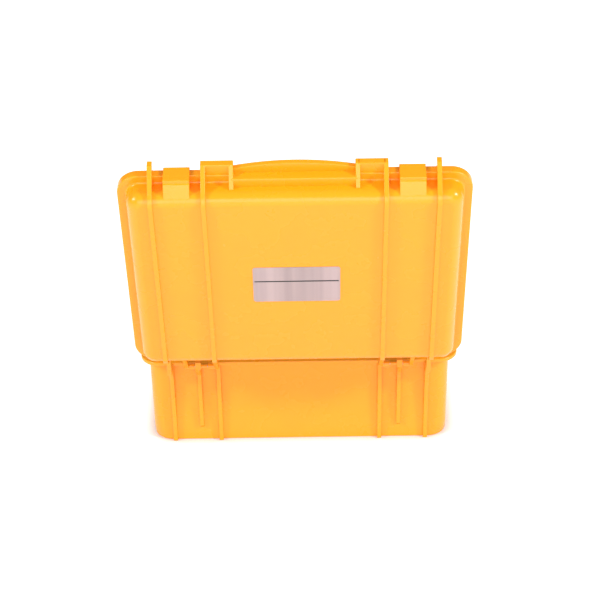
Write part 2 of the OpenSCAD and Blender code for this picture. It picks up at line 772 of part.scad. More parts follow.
// Sizes below the panel that its cut-outs follow
insulator_neck_d = stud_d + 2*insulator_h/2 + pin_fit*2;
button_body_d = (button_ring_d + button_d)/2 + air;
fuse_body_d = 2.4*fuse_d;
module_len = window_len + bezel_h*3;
module_dep = window_dep + bezel_h*3;
rocker_len = power_len - 2*bezel_h;
rocker_w = power_w - 2*bezel_h;
inlet_body_len = socket_len + bezel_h;
inlet_body_dep = socket_dep + bezel_h;

module at_panel(x, y) {
    translate([x, y, panel_z]) children();
}

module panel_hole(x, y, d) {
    translate([x, y, under_z - over]) cylinder(d = d, h = panel_t + 2*over);
}

module panel_slot(x, y, l, d) {
    translate([x - l/2, y - d/2, under_z - over]) cube([l, d, panel_t + 2*over]);
}

function terminal_place(i) = [terminal_x + (i - 1)*terminal_step, terminal_y];

module front_panel() {
    color(grey)
        difference() {
            translate([0, 0, under_z]) block(panel_len, panel_dep, panel_t, panel_r);
            for (p = panel_screw_places) panel_hole(p[0], p[1], screw_d + 2*air);
            panel_slot(display_x, display_y, module_len, module_dep);
            panel_hole(range_x, range_y, bush_d + 2*pin_fit);
            panel_hole(zero_x, zero_y, bush_d*zero_shaft_d/range_shaft_d + 2*pin_fit);
            panel_hole(test_x, test_y, button_body_d + 2*pin_fit);
            panel_slot(column_x, power_y, rocker_w + bezel_h, rocker_len + bezel_h);
            panel_slot(column_x, inlet_y, inlet_body_len + 2*pin_fit, inlet_body_dep + 2*pin_fit);
            panel_hole(column_x, fuse_y, fuse_body_d + 2*pin_fit);
            for (i = [1:terminals]) panel_hole(terminal_place(i)[0], terminal_place(i)[1], insulator_neck_d + 2*pin_fit);
        }
}

// Pan-head screw with its head standing on z = 0
module screw(len) {
    difference() {
        union() {
            cylinder(d = screw_head_d, h = screw_head_h);
            translate([0, 0, -len]) cylinder(d = screw_d, h = len);
        }
        translate([-screw_head_d, -slot_w/2, screw_head_h - slot_w]) cube([2*screw_head_d, slot_w, slot_w + over]);
    }
}

module panel_screws() {
    color(steel)
        for (p = panel_screw_places)
            at_panel(p[0], p[1]) screw(screw_len);
}

module display_bezel() {
    color(black)
        at_panel(display_x, display_y)
            difference() {
                block(bezel_len, bezel_dep, bezel_h, 2*bezel_h);
                translate([0, 0, -over]) block(window_len, window_dep, bezel_h + 2*over, bezel_h/2);
            }
}

module display_window() {
    color([0.75, 0.85, 0.85, 0.35])
        at_panel(display_x, display_y)
            translate([0, 0, bezel_h - window_t - slot_w/3])
                block(window_len, window_dep, window_t, bezel_h/2);
}

module display_module() {
    glass_top = bezel_h - window_t - slot_w/3;
    color([0.62, 0.68, 0.60])
        at_panel(display_x, display_y) {
            translate([0, 0, -module_h]) block(module_len - 2*air, module_dep - 2*air, module_h, bezel_h/2);
            block(window_len - 2*air, window_dep - 2*air, glass_top, bezel_h/2);
        }
}

knob_gap = air*2;

module range_knob() {
    flutes = 24;
    color(black)
        at_panel(range_x, range_y)
            rotate([0, 0, range_first])
                translate([0, 0, knob_gap + bush_top])
                    difference() {
                        union() {
                            tube(range_knob_d, range_shaft_d + 2*pin_fit, range_knob_h/4);
                            cylinder(d1 = 0.86*range_knob_d, d2 = 0.8*range_knob_d, h = range_knob_h/2);
                            translate([0, 0, range_knob_h/4])
                                block(range_bar_w, 0.92*range_knob_d, 0.75*range_knob_h, range_bar_w/3);
                        }
                        for (i = [0:flutes - 1])
                            rotate([0, 0, 360*i/flutes])
                                translate([range_knob_d/2, 0, -over])
                                    cylinder(d = range_bar_w/5, h = range_knob_h/4 + 2*over);
                        translate([0, 0, -over])
                            cylinder(d = range_shaft_d + 2*pin_fit, h = range_knob_h/2 + over);
                        translate([-slot_w/2, range_knob_d/6, range_knob_h - slot_w/2])
                            cube([slot_w, range_knob_d/3, slot_w]);
                    }
}

bush_top = panel_t;
switch_top = under_z - panel_z;

module range_shaft() {
    color(steel)
        at_panel(range_x, range_y)
            translate([0, 0, switch_top - switch_h/2])
                cylinder(d = range_shaft_d, h = switch_h/2 - switch_top + bush_top + knob_gap + range_knob_h/2 - air);
}

module range_switch() {
    color([0.25, 0.42, 0.35])
        at_panel(range_x, range_y)
            difference() {
                union() {
                    translate([0, 0, switch_top - switch_h]) cylinder(d = switch_d, h = switch_h);
                    translate([0, 0, switch_top - over]) cylinder(d = bush_d, h = bush_top - switch_top + over);
                    cylinder(d = 1.5*bush_d, h = bush_top - slot_w, $fn = 6);
                }
                translate([0, 0, switch_top - switch_h/2 - air])
                    cylinder(d = range_shaft_d + 2*pin_fit, h = switch_h + bush_top - switch_top);
            }
}

zero_bush_d = bush_d*zero_shaft_d/range_shaft_d;

module zero_knob() {
    flutes = 18;
    color(black)
        at_panel(zero_x, zero_y)
            translate([0, 0, knob_gap + bush_top])
                difference() {
                    cylinder(d = zero_knob_d, h = zero_knob_h);
                    for (i = [0:flutes - 1])
                        rotate([0, 0, 360*i/flutes])
                            translate([zero_knob_d/2, 0, -over])
                                cylinder(d = zero_knob_d/12, h = zero_knob_h + 2*over);
                    translate([0, 0, -over]) cylinder(d = zero_shaft_d + 2*pin_fit, h = zero_knob_h/2 + over);
                    translate([-slot_w/2, 0, zero_knob_h - slot_w/2]) cube([slot_w, zero_knob_d, slot_w]);
                }
}

module zero_shaft() {
    color(steel)
        at_panel(zero_x, zero_y)
            translate([0, 0, switch_top - pot_h/2])
                cylinder(d = zero_shaft_d, h = pot_h/2 - switch_top + bush_top + knob_gap + zero_knob_h/2 - air);
}

module zero_pot() {
    color(steel)
        at_panel(zero_x, zero_y)
            difference() {
                union() {
                    translate([0, 0, switch_top - pot_h]) cylinder(d = pot_d, h = pot_h);
                    translate([0, 0, switch_top - over]) cylinder(d = zero_bush_d, h = bush_top - switch_top + over);
                    cylinder(d = 1.5*zero_bush_d, h = bush_top - slot_w, $fn = 6);
                }
                translate([0, 0, switch_top - pot_h/2 - air])
                    cylinder(d = zero_shaft_d + 2*pin_fit, h = pot_h + bush_top - switch_top);
            }
}

button_proud = button_travel + 2*air;
button_guide = button_ring_h + panel_t;

module test_button() {
    color([0.80, 0.10, 0.10])
        at_panel(test_x, test_y)
            translate([0, 0, -button_guide]) {
                cylinder(d = button_d, h = button_guide + button_ring_h + button_proud);
                translate([0, 0, -button_travel]) cylinder(d = button_d/2, h = button_travel);
            }
}

module button_housing() {
    color(black)
        at_panel(test_x, test_y)
            difference() {
                union() {
                    cylinder(d = button_ring_d, h = button_ring_h);
                    translate([0, 0, -button_depth]) cylinder(d = button_body_d, h = button_depth);
                }
                translate([0, 0, -button_depth + panel_t]) cylinder(d = button_d + 2*air, h = button_depth + button_ring_h);
            }
}

module button_spring() {
    low = -button_depth + panel_t;
    color(steel)
        at_panel(test_x, test_y)
            translate([0, 0, low])
                tube(button_d - 2*air, button_d/2 + 2*air, -button_guide - low);
}

rocker_r = 2*rocker_len;
rocker_pivot_z = -bezel_h;

module power_rocker() {
    color([0.75, 0.08, 0.08])
        at_panel(column_x, power_y)
            translate([0, 0, rocker_pivot_z])
                rotate([rocker_tilt, 0, 0])
                    difference() {
                        translate([-rocker_w/2 + air, 0, 0])
                            rotate([90, 0, 90])
                                linear_extrude(rocker_w - 2*air)
                                    polygon([[-rocker_len/2 + bezel_h, 0], [0, -bezel_h], [rocker_len/2 - bezel_h, 0],
                                             [rocker_len/2 - bezel_h/2, 2.7*bezel_h], [0, 1.9*bezel_h],
                                             [-rocker_len/2 + bezel_h/2, 2.7*bezel_h]]);
                        rod_x(-rocker_w, rocker_w, 0, 0, slot_w + 2*pin_fit);
                    }
}

module rocker_pin() {
    color(steel)
        rod_x(column_x - rocker_w/2 - slot_w, column_x + rocker_w/2 + slot_w, power_y, panel_z + rocker_pivot_z, slot_w);
}

module rocker_housing() {
    color(black)
        at_panel(column_x, power_y)
            difference() {
                union() {
                    translate([-power_w/2, -power_len/2, 0]) cube([power_w, power_len, bezel_h/2]);
                    translate([-rocker_w/2 - bezel_h/2 + air/2, -rocker_len/2 - bezel_h/2 + air/2, -power_depth])
                        cube([rocker_w + bezel_h - air, rocker_len + bezel_h - air, power_depth]);
                }
                translate([-rocker_w/2, -rocker_len/2, -power_depth/2]) cube([rocker_w, rocker_len, power_depth]);
                rod_x(-rocker_w/2 - slot_w - air, rocker_w/2 + slot_w + air, 0, rocker_pivot_z, slot_w + 2*pin_fit);
            }
}

module mains_inlet() {
    color(black)
        at_panel(column_x, inlet_y)
            difference() {
                union() {
                    block(inlet_len, inlet_dep, bezel_h, bezel_h);
                    translate([0, 0, bezel_h - socket_deep - 2*bezel_h])
                        block(inlet_body_len, inlet_body_dep, socket_deep + bezel_h, bezel_h);
                }
                translate([0, 0, bezel_h - socket_deep]) block(socket_len, socket_dep, socket_deep + over, bezel_h);
            }
}

blade_w = 4;
blade_t = 2;
blade_pitch = 7;

module inlet_blades() {
    low = bezel_h - socket_deep;
    color(brass)
        for (p = [[-blade_pitch, -blade_t], [blade_pitch, -blade_t], [0, blade_t]])
            at_panel(column_x + p[0], inlet_y + p[1] + blade_t)
                translate([-blade_t/2, -blade_w/2, low]) cube([blade_t, blade_w, socket_deep - bezel_h]);
}

fuse_stem_d = fuse_d + 3*air;

module fuse_holder() {
    color(black)
        at_panel(column_x, fuse_y)
            difference() {
                union() {
                    cylinder(d = fuse_ring_d, h = bezel_h);
                    translate([0, 0, -fuse_depth]) cylinder(d = fuse_body_d, h = fuse_depth);
                }
                translate([0, 0, -fuse_depth + bezel_h])
                    cylinder(d = fuse_stem_d + fuse_d/2 + 2*air, h = fuse_depth + bezel_h);
            }
}

module fuse_cap() {
    color(black)
        at_panel(column_x, fuse_y)
            difference() {
                union() {
                    translate([0, 0, bezel_h + air]) cylinder(d = fuse_ring_d - bezel_h, h = 3*bezel_h);
                    translate([0, 0, -fuse_len/3]) cylinder(d = fuse_stem_d + fuse_d/2, h = fuse_len/3 + 2*bezel_h);
                }
                translate([0, 0, -fuse_len/3 - over]) cylinder(d = fuse_d + 2*pin_fit, h = fuse_len/3 + over);
                translate([-fuse_ring_d, -slot_w, 4*bezel_h + air - 2*slot_w]) cube([2*fuse_ring_d, 2*slot_w, 3*slot_w]);
            }
}

module glass_fuse() {
    color([0.85, 0.90, 0.90, 0.5])
        at_panel(column_x, fuse_y)
            translate([0, 0, -fuse_len]) cylinder(d = fuse_d, h = fuse_len);
}

stud_bore_d = stud_d + 2*pin_fit;
stud_top = insulator_h + air + cap_h;

module terminal_insulator(i) {
    color([black, [0.72, 0.08, 0.08], [0.72, 0.08, 0.08], black][i - 1])
        at_panel(terminal_place(i)[0], terminal_place(i)[1])
            difference() {
                union() {
                    cylinder(d = terminal_d, h = insulator_h);
                    translate([0, 0, -2*panel_t]) cylinder(d = insulator_neck_d, h = 2*panel_t);
                }
                translate([0, 0, -2*panel_t - over]) cylinder(d = stud_bore_d, h = 2*panel_t + insulator_h + 2*over);
            }
}

module terminal_stud(i) {
    color(brass)
        at_panel(terminal_place(i)[0], terminal_place(i)[1])
            difference() {
                translate([0, 0, -stud_tail]) cylinder(d = stud_d, h = stud_tail + stud_top);
                translate([0, 0, stud_top - jack_deep]) cylinder(d = jack_d, h = jack_deep + over);
            }
}

module terminal_cap(i) {
    flutes = 16;
    color([black, [0.72, 0.08, 0.08], [0.72, 0.08, 0.08], black][i - 1])
        at_panel(terminal_place(i)[0], terminal_place(i)[1])
            translate([0, 0, insulator_h + air])
                difference() {
                    cylinder(d = terminal_d, h = cap_h);
                    for (k = [0:flutes - 1])
                        rotate([0, 0, 360*k/flutes])
                            translate([terminal_d/2, 0, -over])
                                cylinder(d = terminal_d/12, h = cap_h + 2*over);
                    translate([0, 0, -over]) cylinder(d = stud_bore_d, h = cap_h + 2*over);
                }
}

module terminal_nuts() {
    color(steel)
        for (i = [1:terminals])
            at_panel(terminal_place(i)[0], terminal_place(i)[1])
                translate([0, 0, -2*panel_t - insulator_h])
                    difference() {
                        cylinder(d = 2*stud_d, h = insulator_h, $fn = 6);
                        translate([0, 0, -over]) cylinder(d = stud_bore_d, h = insulator_h + 2*over);
                    }
}

board_z = wall + pillar_h;
board_top = board_z + board_t;
board_hole_x = board_len/2 - board_inset;
board_hole_y = board_dep/2 - board_inset;

module terminal_leads() {
    color([0.10, 0.30, 0.60])
        for (i = [1:terminals])
            translate([terminal_place(i)[0], terminal_place(i)[1], board_top])
                cylinder(d = stud_d/3, h = panel_z - stud_tail - board_top);
}

module at_board_holes() {
    for (sx = [-1, 1], sy = [-1, 1])
        translate([board_x + sx*board_hole_x, sy*board_hole_y, 0]) children();
}

module circuit_board() {
    color([0.05, 0.40, 0.20])
        difference() {
            translate([board_x - board_len/2, -board_dep/2, board_z]) cube([board_len, board_dep, board_t]);
            at_board_holes() translate([0, 0, board_z - over]) cylinder(d = screw_d + 2*pin_fit, h = board_t + 2*over);
        }
}

module board_pillars() {
    color(brass)
        at_board_holes()
            difference() {
                translate([0, 0, wall]) cylinder(d = pillar_d, h = pillar_h, $fn = 6);
                translate([0, 0, wall + pillar_h/4]) cylinder(d = screw_d + 2*pin_fit, h = pillar_h);
            }
}

module board_screws() {
    color(steel)
        at_board_holes()
            translate([0, 0, board_top]) screw(board_t + pillar_h/2);
}

module transformer_core() {
    color([0.30, 0.30, 0.32])
        translate([column_x, core_y, wall])
            difference() {
                translate([-core_len/2, -core_dep/2, 0]) cube([core_len, core_dep, core_h]);
                for (sx = [-1, 1])
                    translate([sx*(core_len/2 - limb_w)/2 + sx*limb_w/2 - (core_len/2 - 2*limb_w)/2, -core_dep/2 - over, limb_w])
                        cube([core_len/2 - 2*limb_w, core_dep + 2*over, core_h - 2*limb_w]);
            }
}

module transformer_coil() {
    hollow = core_len/2 - 2*limb_w;
    color([0.80, 0.55, 0.15])
        translate([column_x, core_y, wall + limb_w])
            difference() {
                translate([-limb_w - hollow + air, -core_dep/2 - hollow + air, air])
                    cube([2*(limb_w + hollow - air), core_dep + 2*hollow - 2*air, core_h - 2*limb_w - 2*air]);
                translate([-limb_w, -core_dep/2, -over]) cube([2*limb_w, core_dep, core_h]);
            }
}

module filter_capacitors() {
    color([0.12, 0.16, 0.45])
        for (k = [0:1])
            translate([board_x + board_len/2 - can_d, board_dep/2 - can_d - k*1.25*can_d, board_top])
                cylinder(d = can_d, h = can_h);
}

resistor_len = 22;
resistor_w = 6.4;

module range_resistors() {
    color([0.88, 0.86, 0.78])
        for (k = [0:4])
            translate([board_x + 2*k*resistor_w, -2*resistor_w, board_top])
                cube([resistor_w, resistor_len, resistor_w]);
}

sink_len = 34;
sink_dep = 15;
sink_fin_t = 1.6;

module heat_sink() {
    fins = 6;
    pitch = (sink_len - sink_fin_t)/(fins - 1);
    color([0.20, 0.20, 0.21])
        translate([board_x - board_len/2 + 2*board_inset, 0, board_top]) {
            cube([sink_len, 2*sink_fin_t, can_h]);
            for (k = [0:fins - 1])
                translate([k*pitch, sink_fin_t, 0]) cube([sink_fin_t, sink_dep, can_h]);
        }
}

chip_len = 52;
chip_w = 14;
chip_h = 4.5;

module converter_chip() {
    color(black)
        translate([board_x - chip_len/2, board_dep/2 - 2*chip_w, board_top]) cube([chip_len, chip_w, chip_h]);
}

base_shell();
lid_shell();
rim_seal();
name_label();
hinge_pin(-1);  // hinge_pin_left
hinge_pin(1);  // hinge_pin_right
hanging_latch(-1);  // latch_left
hanging_latch(1);  // latch_right
latch_pin(-1);  // latch_pin_left
latch_pin(1);  // latch_pin_right
carry_handle();
handle_pin(-1);  // handle_pin_left
handle_pin(1);  // handle_pin_right
front_panel();
panel_screws();
display_bezel();
display_window();
display_module();
range_knob();
range_shaft();
range_switch();
zero_knob();
zero_shaft();
zero_pot();
test_button();
button_housing();
button_spring();
power_rocker();
rocker_pin();
rocker_housing();
mains_inlet();
inlet_blades();
fuse_holder();
fuse_cap();
glass_fuse();
terminal_insulator(1);  // terminal_insulator_1
terminal_insulator(2);  // terminal_insulator_2
terminal_insulator(3);  // terminal_insulator_3
terminal_insulator(4);  // terminal_insulator_4
terminal_stud(1);  // terminal_stud_1
terminal_stud(2);  // terminal_stud_2
terminal_stud(3);  // terminal_stud_3
terminal_stud(4);  // terminal_stud_4
terminal_cap(1);  // terminal_cap_1
terminal_cap(2);  // terminal_cap_2
terminal_cap(3);  // terminal_cap_3
terminal_cap(4);  // terminal_cap_4
terminal_nuts();
terminal_leads();
circuit_board();
board_pillars();
board_screws();
transformer_core();
transformer_coil();
filter_capacitors();
range_resistors();
heat_sink();
converter_chip();
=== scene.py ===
import json
import math

import bmesh
import bpy
from mathutils import Matrix, Vector


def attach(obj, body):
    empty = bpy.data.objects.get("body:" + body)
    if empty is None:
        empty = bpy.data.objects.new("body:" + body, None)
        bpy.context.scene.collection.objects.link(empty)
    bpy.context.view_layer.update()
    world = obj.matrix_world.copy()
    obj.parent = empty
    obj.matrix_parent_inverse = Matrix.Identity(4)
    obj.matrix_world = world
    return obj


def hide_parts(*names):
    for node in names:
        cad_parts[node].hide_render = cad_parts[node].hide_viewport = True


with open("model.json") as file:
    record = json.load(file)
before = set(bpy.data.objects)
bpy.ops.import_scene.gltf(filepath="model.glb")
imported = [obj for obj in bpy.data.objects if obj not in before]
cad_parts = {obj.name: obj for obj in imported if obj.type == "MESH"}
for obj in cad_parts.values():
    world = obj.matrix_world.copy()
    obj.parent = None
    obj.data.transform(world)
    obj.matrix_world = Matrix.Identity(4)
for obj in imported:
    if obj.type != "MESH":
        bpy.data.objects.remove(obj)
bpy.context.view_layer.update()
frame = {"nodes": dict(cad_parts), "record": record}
scene = bpy.context.scene
record = frame["record"]

# Metres in a millimetre
MM = 0.001

# Case outline, in millimetres, for a closed case
RIM_LEN = 250.0
RIM_DEP = 188.0
RIM_CORNER_R = 16.0
OVERHANG = 6.5
WALL_CORNER_R = 10.0
EDGE_R = 8.5
FOOT_R = 1.0
# How much rounder the base's upright corners are at the floor, and how high that reaches
FOOT_CORNER = 6.0
FOOT_CORNER_H = 14.0
WALL = 2.8
# Widening at the mouth of each cavity
MOUTH = 0.5
BASE_H = 77.5
BASE_RIM_T = 3.2
BASE_BLEND_R = 1.2
DRAFT_IN = 0.75
LID_H = 23.2
LID_RIM_T = 6.6
LID_DRAFT_IN = 0.6
LID_BACK_IN = 3.7
PARTING_GAP = 0.3
LID_Z = BASE_H + PARTING_GAP
FACE_Z = LID_Z + LID_H
# The walls' outside, and how deep inside it plates are rooted
BODY_Y = RIM_DEP / 2 - OVERHANG
ROOT_Y = BODY_Y - WALL_CORNER_R
RIM_Y = RIM_DEP / 2
# Free gap between parts that turn or slide past each other
AIR = 0.3

# Seal groove in the lid, tongue on the base
SEAL_INSET = 4.6
GROOVE_W = 3.0
GROOVE_D = 3.2
TONGUE_W = 1.8
TONGUE_TOP_W = 1.4
TONGUE_H = 1.3

# Panel, its posts and screws
PANEL_GAP = 0.6
UNDER_PANEL_Z = 67.5
SCREW_INSET = 6.5
POST_D = 9.0

# Ribs, fins and front lip
RIB_T = 3.4
RIB_OUT_X = 100.7
RIB_IN_X = 63.7
RIB_MID_X = 78.9
RIB_SHORT_X = 44.1
FACE_RIB_H = 2.2
BASE_RIB_H = 4.7
RIB_FOOT_H = 2.4
FIN_REACH = 8.0
FIN_FOOT_H = 5.0
FLARE_LOW_Z = 42.0
FLARE_FULL_Z = 53.0
MID_FOOT_Z = 12.0
CREST_TURN = 58.0
LIP_T = 3.9
LIP_MID_REACH = 7.9
LIP_END_REACH = 3.2
BAR_T = 5.4
LIP_BAND_H = 11.3

# Hinge
HINGE_BACK = 11.8
HINGE_UP = 4.0
HINGE_Y = RIM_Y + HINGE_BACK
HINGE_Z = BASE_H + HINGE_UP
LID_OPEN = 105.5
BARREL_D = 4.4
KNUCKLE_D = 2.8
KNUCKLE_T = 4.6
KNUCKLE_UP = 4.4
PIN_D = 1.8
BARREL_IN_LEN = 8.7
BARREL_OUT_LEN = 8.0
HINGE_GAP = 0.3
PIN_FIT = 0.05
# Height of the hinge arm's heel, as a share of the barrel's radius
ARM_HEEL = 0.8
STOP_BACK = 7.7
STOP_H = 7.4
STOP_GAP = 0.3
SEAT_LOW_Z = 60.0

# Latches and handle
LATCH_X = 82.2
LATCH_W = 18.5
CATCH_REACH = 2.3
CATCH_H = 14.8
CATCH_LEDGE = 2.8
LATCH_T = 3.0
LATCH_GAP = 0.4
LATCH_Y = -(RIM_Y + CATCH_REACH + LATCH_GAP + LATCH_T / 2)
LATCH_Z = 52.0
LATCH_PIN_D = 2.4
# Material round the latch's pin, as a share of the latch's thickness
EYE_SHARE = 1.4
LUG_T = 3.0
LUG_D = LATCH_PIN_D + EYE_SHARE * LATCH_T + LUG_T / 4
LUG_X = LATCH_W / 2 + AIR + LUG_T / 2
HANDLE_OUT = 3.2
HANDLE_Y = -(RIM_Y + HANDLE_OUT)
HANDLE_Z = 62.0
HANDLE_PIN_D = 3.0

# Moulding detail: rounded edges and blends
EDGE_ROUND = 0.45
ROD_ROUND = 0.3
BAND_ROUND = 0.9
RIM_ROUND = 0.8
BLEND_R = 1.6
# How far one plate stands back from another that it would be level with
SINK = 0.1
# How far a cut or a join reaches past the surface that it meets
PAST = 1.0
# Heights of the rings that shape the lower corners of the base
CORNER_LEVELS = (3.5, 6.0, 8.5, 11.0, FOOT_CORNER_H)

# Steps of the curves
CORNER_STEPS = 14
ARC_STEPS = 8
RIM_STEPS = 4
BASE_BLEND_STEPS = 4
LID_BLEND_STEPS = 5
FOOT_STEPS = 6
FACE_STEPS = 12
LIP_STEPS = 32
ROD_STEPS = 40
POST_STEPS = 32

# Cleaning and shading of the shells: shortest edge, angles in degrees, weight of flat faces
SHORTEST_EDGE = 0.004
FLAT_ANGLE = 0.15
SHARP_ANGLE = 40.0
NORMAL_WEIGHT = 80

# The same for the copies of nodes that are softened
SOFT_SHORTEST_EDGE = 0.002
SOFT_FLAT_ANGLE = 0.5
SOFT_LEAST_ANGLE = 30.0
SOFT_SHARP_ANGLE = 35.0
SOFT_STEPS = 2

# Rounding of each softened node
SOFT_NODES = {
    "latch_left": 0.4, "latch_right": 0.4, "carry_handle": 1.0, "name_label": 0.1, "front_panel": 0.25,
    "display_bezel": 0.5, "range_knob": 0.35, "zero_knob": 0.3, "test_button": 0.5,
    "button_housing": 0.4, "power_rocker": 0.4, "rocker_housing": 0.3, "mains_inlet": 0.4,
    "fuse_holder": 0.4, "fuse_cap": 0.4,
}
SOFT_TERMINALS = {"insulator": 0.3, "cap": 0.3, "stud": 0.2}
SOFT_SCREWS = 0.2

# Photograph's camera: aim and distance in metres, angles in degrees, lens and sensor in millimetres
CAMERA_AIM = Vector((-0.00108, 0.0, 0.07856))
CAMERA_DISTANCE = 1.4491
CAMERA_RISE = 30.006
CAMERA_TURN = -0.418
CAMERA_ROLL = -1.054
CAMERA_LENS = 104.6
CAMERA_SENSOR = 36.0
CAMERA_REACH = 100.0


def direction(turn, rise):
    """Unit vector at an angle from straight behind the case towards +X, and above the floor."""
    turn, rise = math.radians(turn), math.radians(rise)
    return Vector((math.sin(turn) * math.cos(rise), math.cos(turn) * math.cos(rise), math.sin(rise)))


def place_camera():
    roll = math.radians(CAMERA_ROLL)
    back = direction(CAMERA_TURN, CAMERA_RISE)
    right = (-back).cross(Vector((0, 0, 1))).normalized()
    up = back.cross(right)
    side = right * math.cos(roll) + up * math.sin(roll)
    top = up * math.cos(roll) - right * math.sin(roll)
    data = bpy.data.cameras.new("camera")
    data.sensor_width = CAMERA_SENSOR
    data.lens = CAMERA_LENS
    data.clip_end = CAMERA_REACH
    camera = bpy.data.objects.new("camera", data)
    scene.collection.objects.link(camera)
    matrix = Matrix((side, top, back)).transposed().to_4x4()
    matrix.translation = CAMERA_AIM + back * CAMERA_DISTANCE
    camera.matrix_world = matrix
    scene.camera = camera


# Mesh helpers: shapes are drawn in millimetres and scaled to metres at the end

def object_from(bm, name):
    """Turns a drawn shape into an object of the scene."""
    mesh = bpy.data.meshes.new(name)
    bmesh.ops.recalc_face_normals(bm, faces=bm.faces)
    for face in bm.faces:
        face.smooth = True
    bm.to_mesh(mesh)
    bm.free()
    obj = bpy.data.objects.new(name, mesh)
    scene.collection.objects.link(obj)
    return obj


def mirror_copy(bm):
    """Adds the mirror image in X of everything drawn so far."""
    copy = bmesh.ops.duplicate(bm, geom=bm.verts[:] + bm.edges[:] + bm.faces[:])
    verts = [g for g in copy["geom"] if isinstance(g, bmesh.types.BMVert)]
    for v in verts:
        v.co.x = -v.co.x


def draw_out(bm, points, axis, distance):
    """Adds a prism: a flat outline drawn out along an axis, 0 for X and 2 for Z."""
    face = bm.faces.new([bm.verts.new(point) for point in points])
    made = bmesh.ops.extrude_face_region(bm, geom=[face])
    for g in made["geom"]:
        if isinstance(g, bmesh.types.BMVert):
            g.co[axis] += distance


def apply_modifier(obj, kind, **values):
    """Adds a modifier with these settings and applies it."""
    modifier = obj.modifiers.new("step", kind)
    for key, value in values.items():
        setattr(modifier, key, value)
    with bpy.context.temp_override(object=obj, active_object=obj):
        bpy.ops.object.modifier_apply(modifier=modifier.name)


def round_edges(bm, width, least_angle=25.0, segments=3):
    """Rounds every edge that turns by more than an angle in degrees."""
    least = math.radians(least_angle)
    edges = [e for e in bm.edges if e.is_manifold and e.calc_face_angle(0.0) > least]
    bmesh.ops.bevel(bm, geom=edges, offset=width, segments=segments, profile=0.5,
                    affect="EDGES", clamp_overlap=True)


def plate(x, thickness, outline, width=EDGE_ROUND, mirrored=True):
    """A plate centred on x from an outline in the side view, its free edges rounded."""
    bm = bmesh.new()
    draw_out(bm, [(x - thickness / 2, y, z) for y, z in outline], 0, thickness)
    bmesh.ops.recalc_face_normals(bm, faces=bm.faces)
    round_edges(bm, width)
    if mirrored:
        mirror_copy(bm)
    return object_from(bm, "plate")


def cylinder(bm, diameter, length, matrix, steps):
    bmesh.ops.create_cone(bm, cap_ends=True, segments=steps, radius1=diameter / 2, radius2=diameter / 2,
                          depth=length, matrix=matrix)


def rod(x0, x1, y, z, diameter, width=0.0):
    """A cylinder along X about a point of the side view, and its mirror image."""
    bm = bmesh.new()
    matrix = Matrix.Translation(((x0 + x1) / 2, y, z)) @ Matrix.Rotation(math.radians(90), 4, "Y")
    cylinder(bm, diameter, x1 - x0, matrix, ROD_STEPS)
    if width:
        round_edges(bm, width, SHARP_ANGLE, 2)
    mirror_copy(bm)
    return object_from(bm, "rod")


def post(x, y, z0, z1, diameter):
    """An upright cylinder."""
    bm = bmesh.new()
    cylinder(bm, diameter, z1 - z0, Matrix.Translation((x, y, (z0 + z1) / 2)), POST_STEPS)
    return object_from(bm, "post")


def arc(centre, radius, start, end, steps=ARC_STEPS):
    """Points of an arc about centre, angles in degrees."""
    angles = [math.radians(start + (end - start) * i / steps) for i in range(steps + 1)]
    return [(centre[0] + radius * math.cos(a), centre[1] + radius * math.sin(a)) for a in angles]


def plan_ring(length, depth, radius, shift=0.0):
    """Points of a rounded rectangle, the same number for every size, its middle moved by shift in Y."""
    points = []
    for quarter, (sx, sy) in enumerate(((1, 1), (-1, 1), (-1, -1), (1, -1))):
        for i in range(CORNER_STEPS + 1):
            a = math.radians(90 * (quarter + i / CORNER_STEPS))
            points.append((sx * (length / 2 - radius) + radius * math.cos(a),
                           sy * (depth / 2 - radius) + radius * math.sin(a) + shift))
    return points


def swept(profile, name="swept", looped=False):
    """A solid from rings: each profile point is (inset from the rim's edge, height, plan corner radius)
    and, where the back stands farther in than the other sides, by how much."""
    bm = bmesh.new()
    rows = []
    for inset, z, radius, *rest in profile:
        back = rest[0] if rest else 0.0
        ring = plan_ring(RIM_LEN - 2 * inset, RIM_DEP - 2 * inset - back, radius, -back / 2)
        rows.append([bm.verts.new((x, y, z)) for x, y in ring])
    pairs = list(zip(rows, rows[1:]))
    if looped:
        pairs.append((rows[-1], rows[0]))
    count = len(rows[0])
    for low, high in pairs:
        for i in range(count):
            j = (i + 1) % count
            bm.faces.new((low[i], low[j], high[j], high[i]))
    if not looped:
        bm.faces.new(rows[0])
        bm.faces.new(rows[-1])
    return object_from(bm, name)


def combine(target, tools, operation="UNION"):
    """Joins tools to target, or cuts them from it, and removes them."""
    for tool in tools:
        apply_modifier(target, "BOOLEAN", operation=operation, solver="MANIFOLD", object=tool)
        bpy.data.objects.remove(tool)


def finish_mesh(obj, matrix=None):
    """Scales a millimetre shape to metres, places it and sets its shading."""
    mesh = obj.data
    bm = bmesh.new()
    bm.from_mesh(mesh)
    bmesh.ops.dissolve_degenerate(bm, edges=bm.edges, dist=SHORTEST_EDGE)
    bmesh.ops.dissolve_limit(bm, angle_limit=math.radians(FLAT_ANGLE), verts=bm.verts, edges=bm.edges)
    bmesh.ops.triangulate(bm, faces=bm.faces, quad_method="BEAUTY", ngon_method="BEAUTY")
    bmesh.ops.recalc_face_normals(bm, faces=bm.faces)
    bm.to_mesh(mesh)
    bm.free()
    mesh.transform(Matrix.Scale(MM, 4))
    if matrix is not None:
        mesh.transform(matrix)
    for polygon in mesh.polygons:
        polygon.use_smooth = True
    mesh.set_sharp_from_angle(angle=math.radians(SHARP_ANGLE))
    apply_modifier(obj, "WEIGHTED_NORMAL", keep_sharp=True, weight=NORMAL_WEIGHT)
    return obj


# Lid: side-view outlines are (y, z) of the closed case

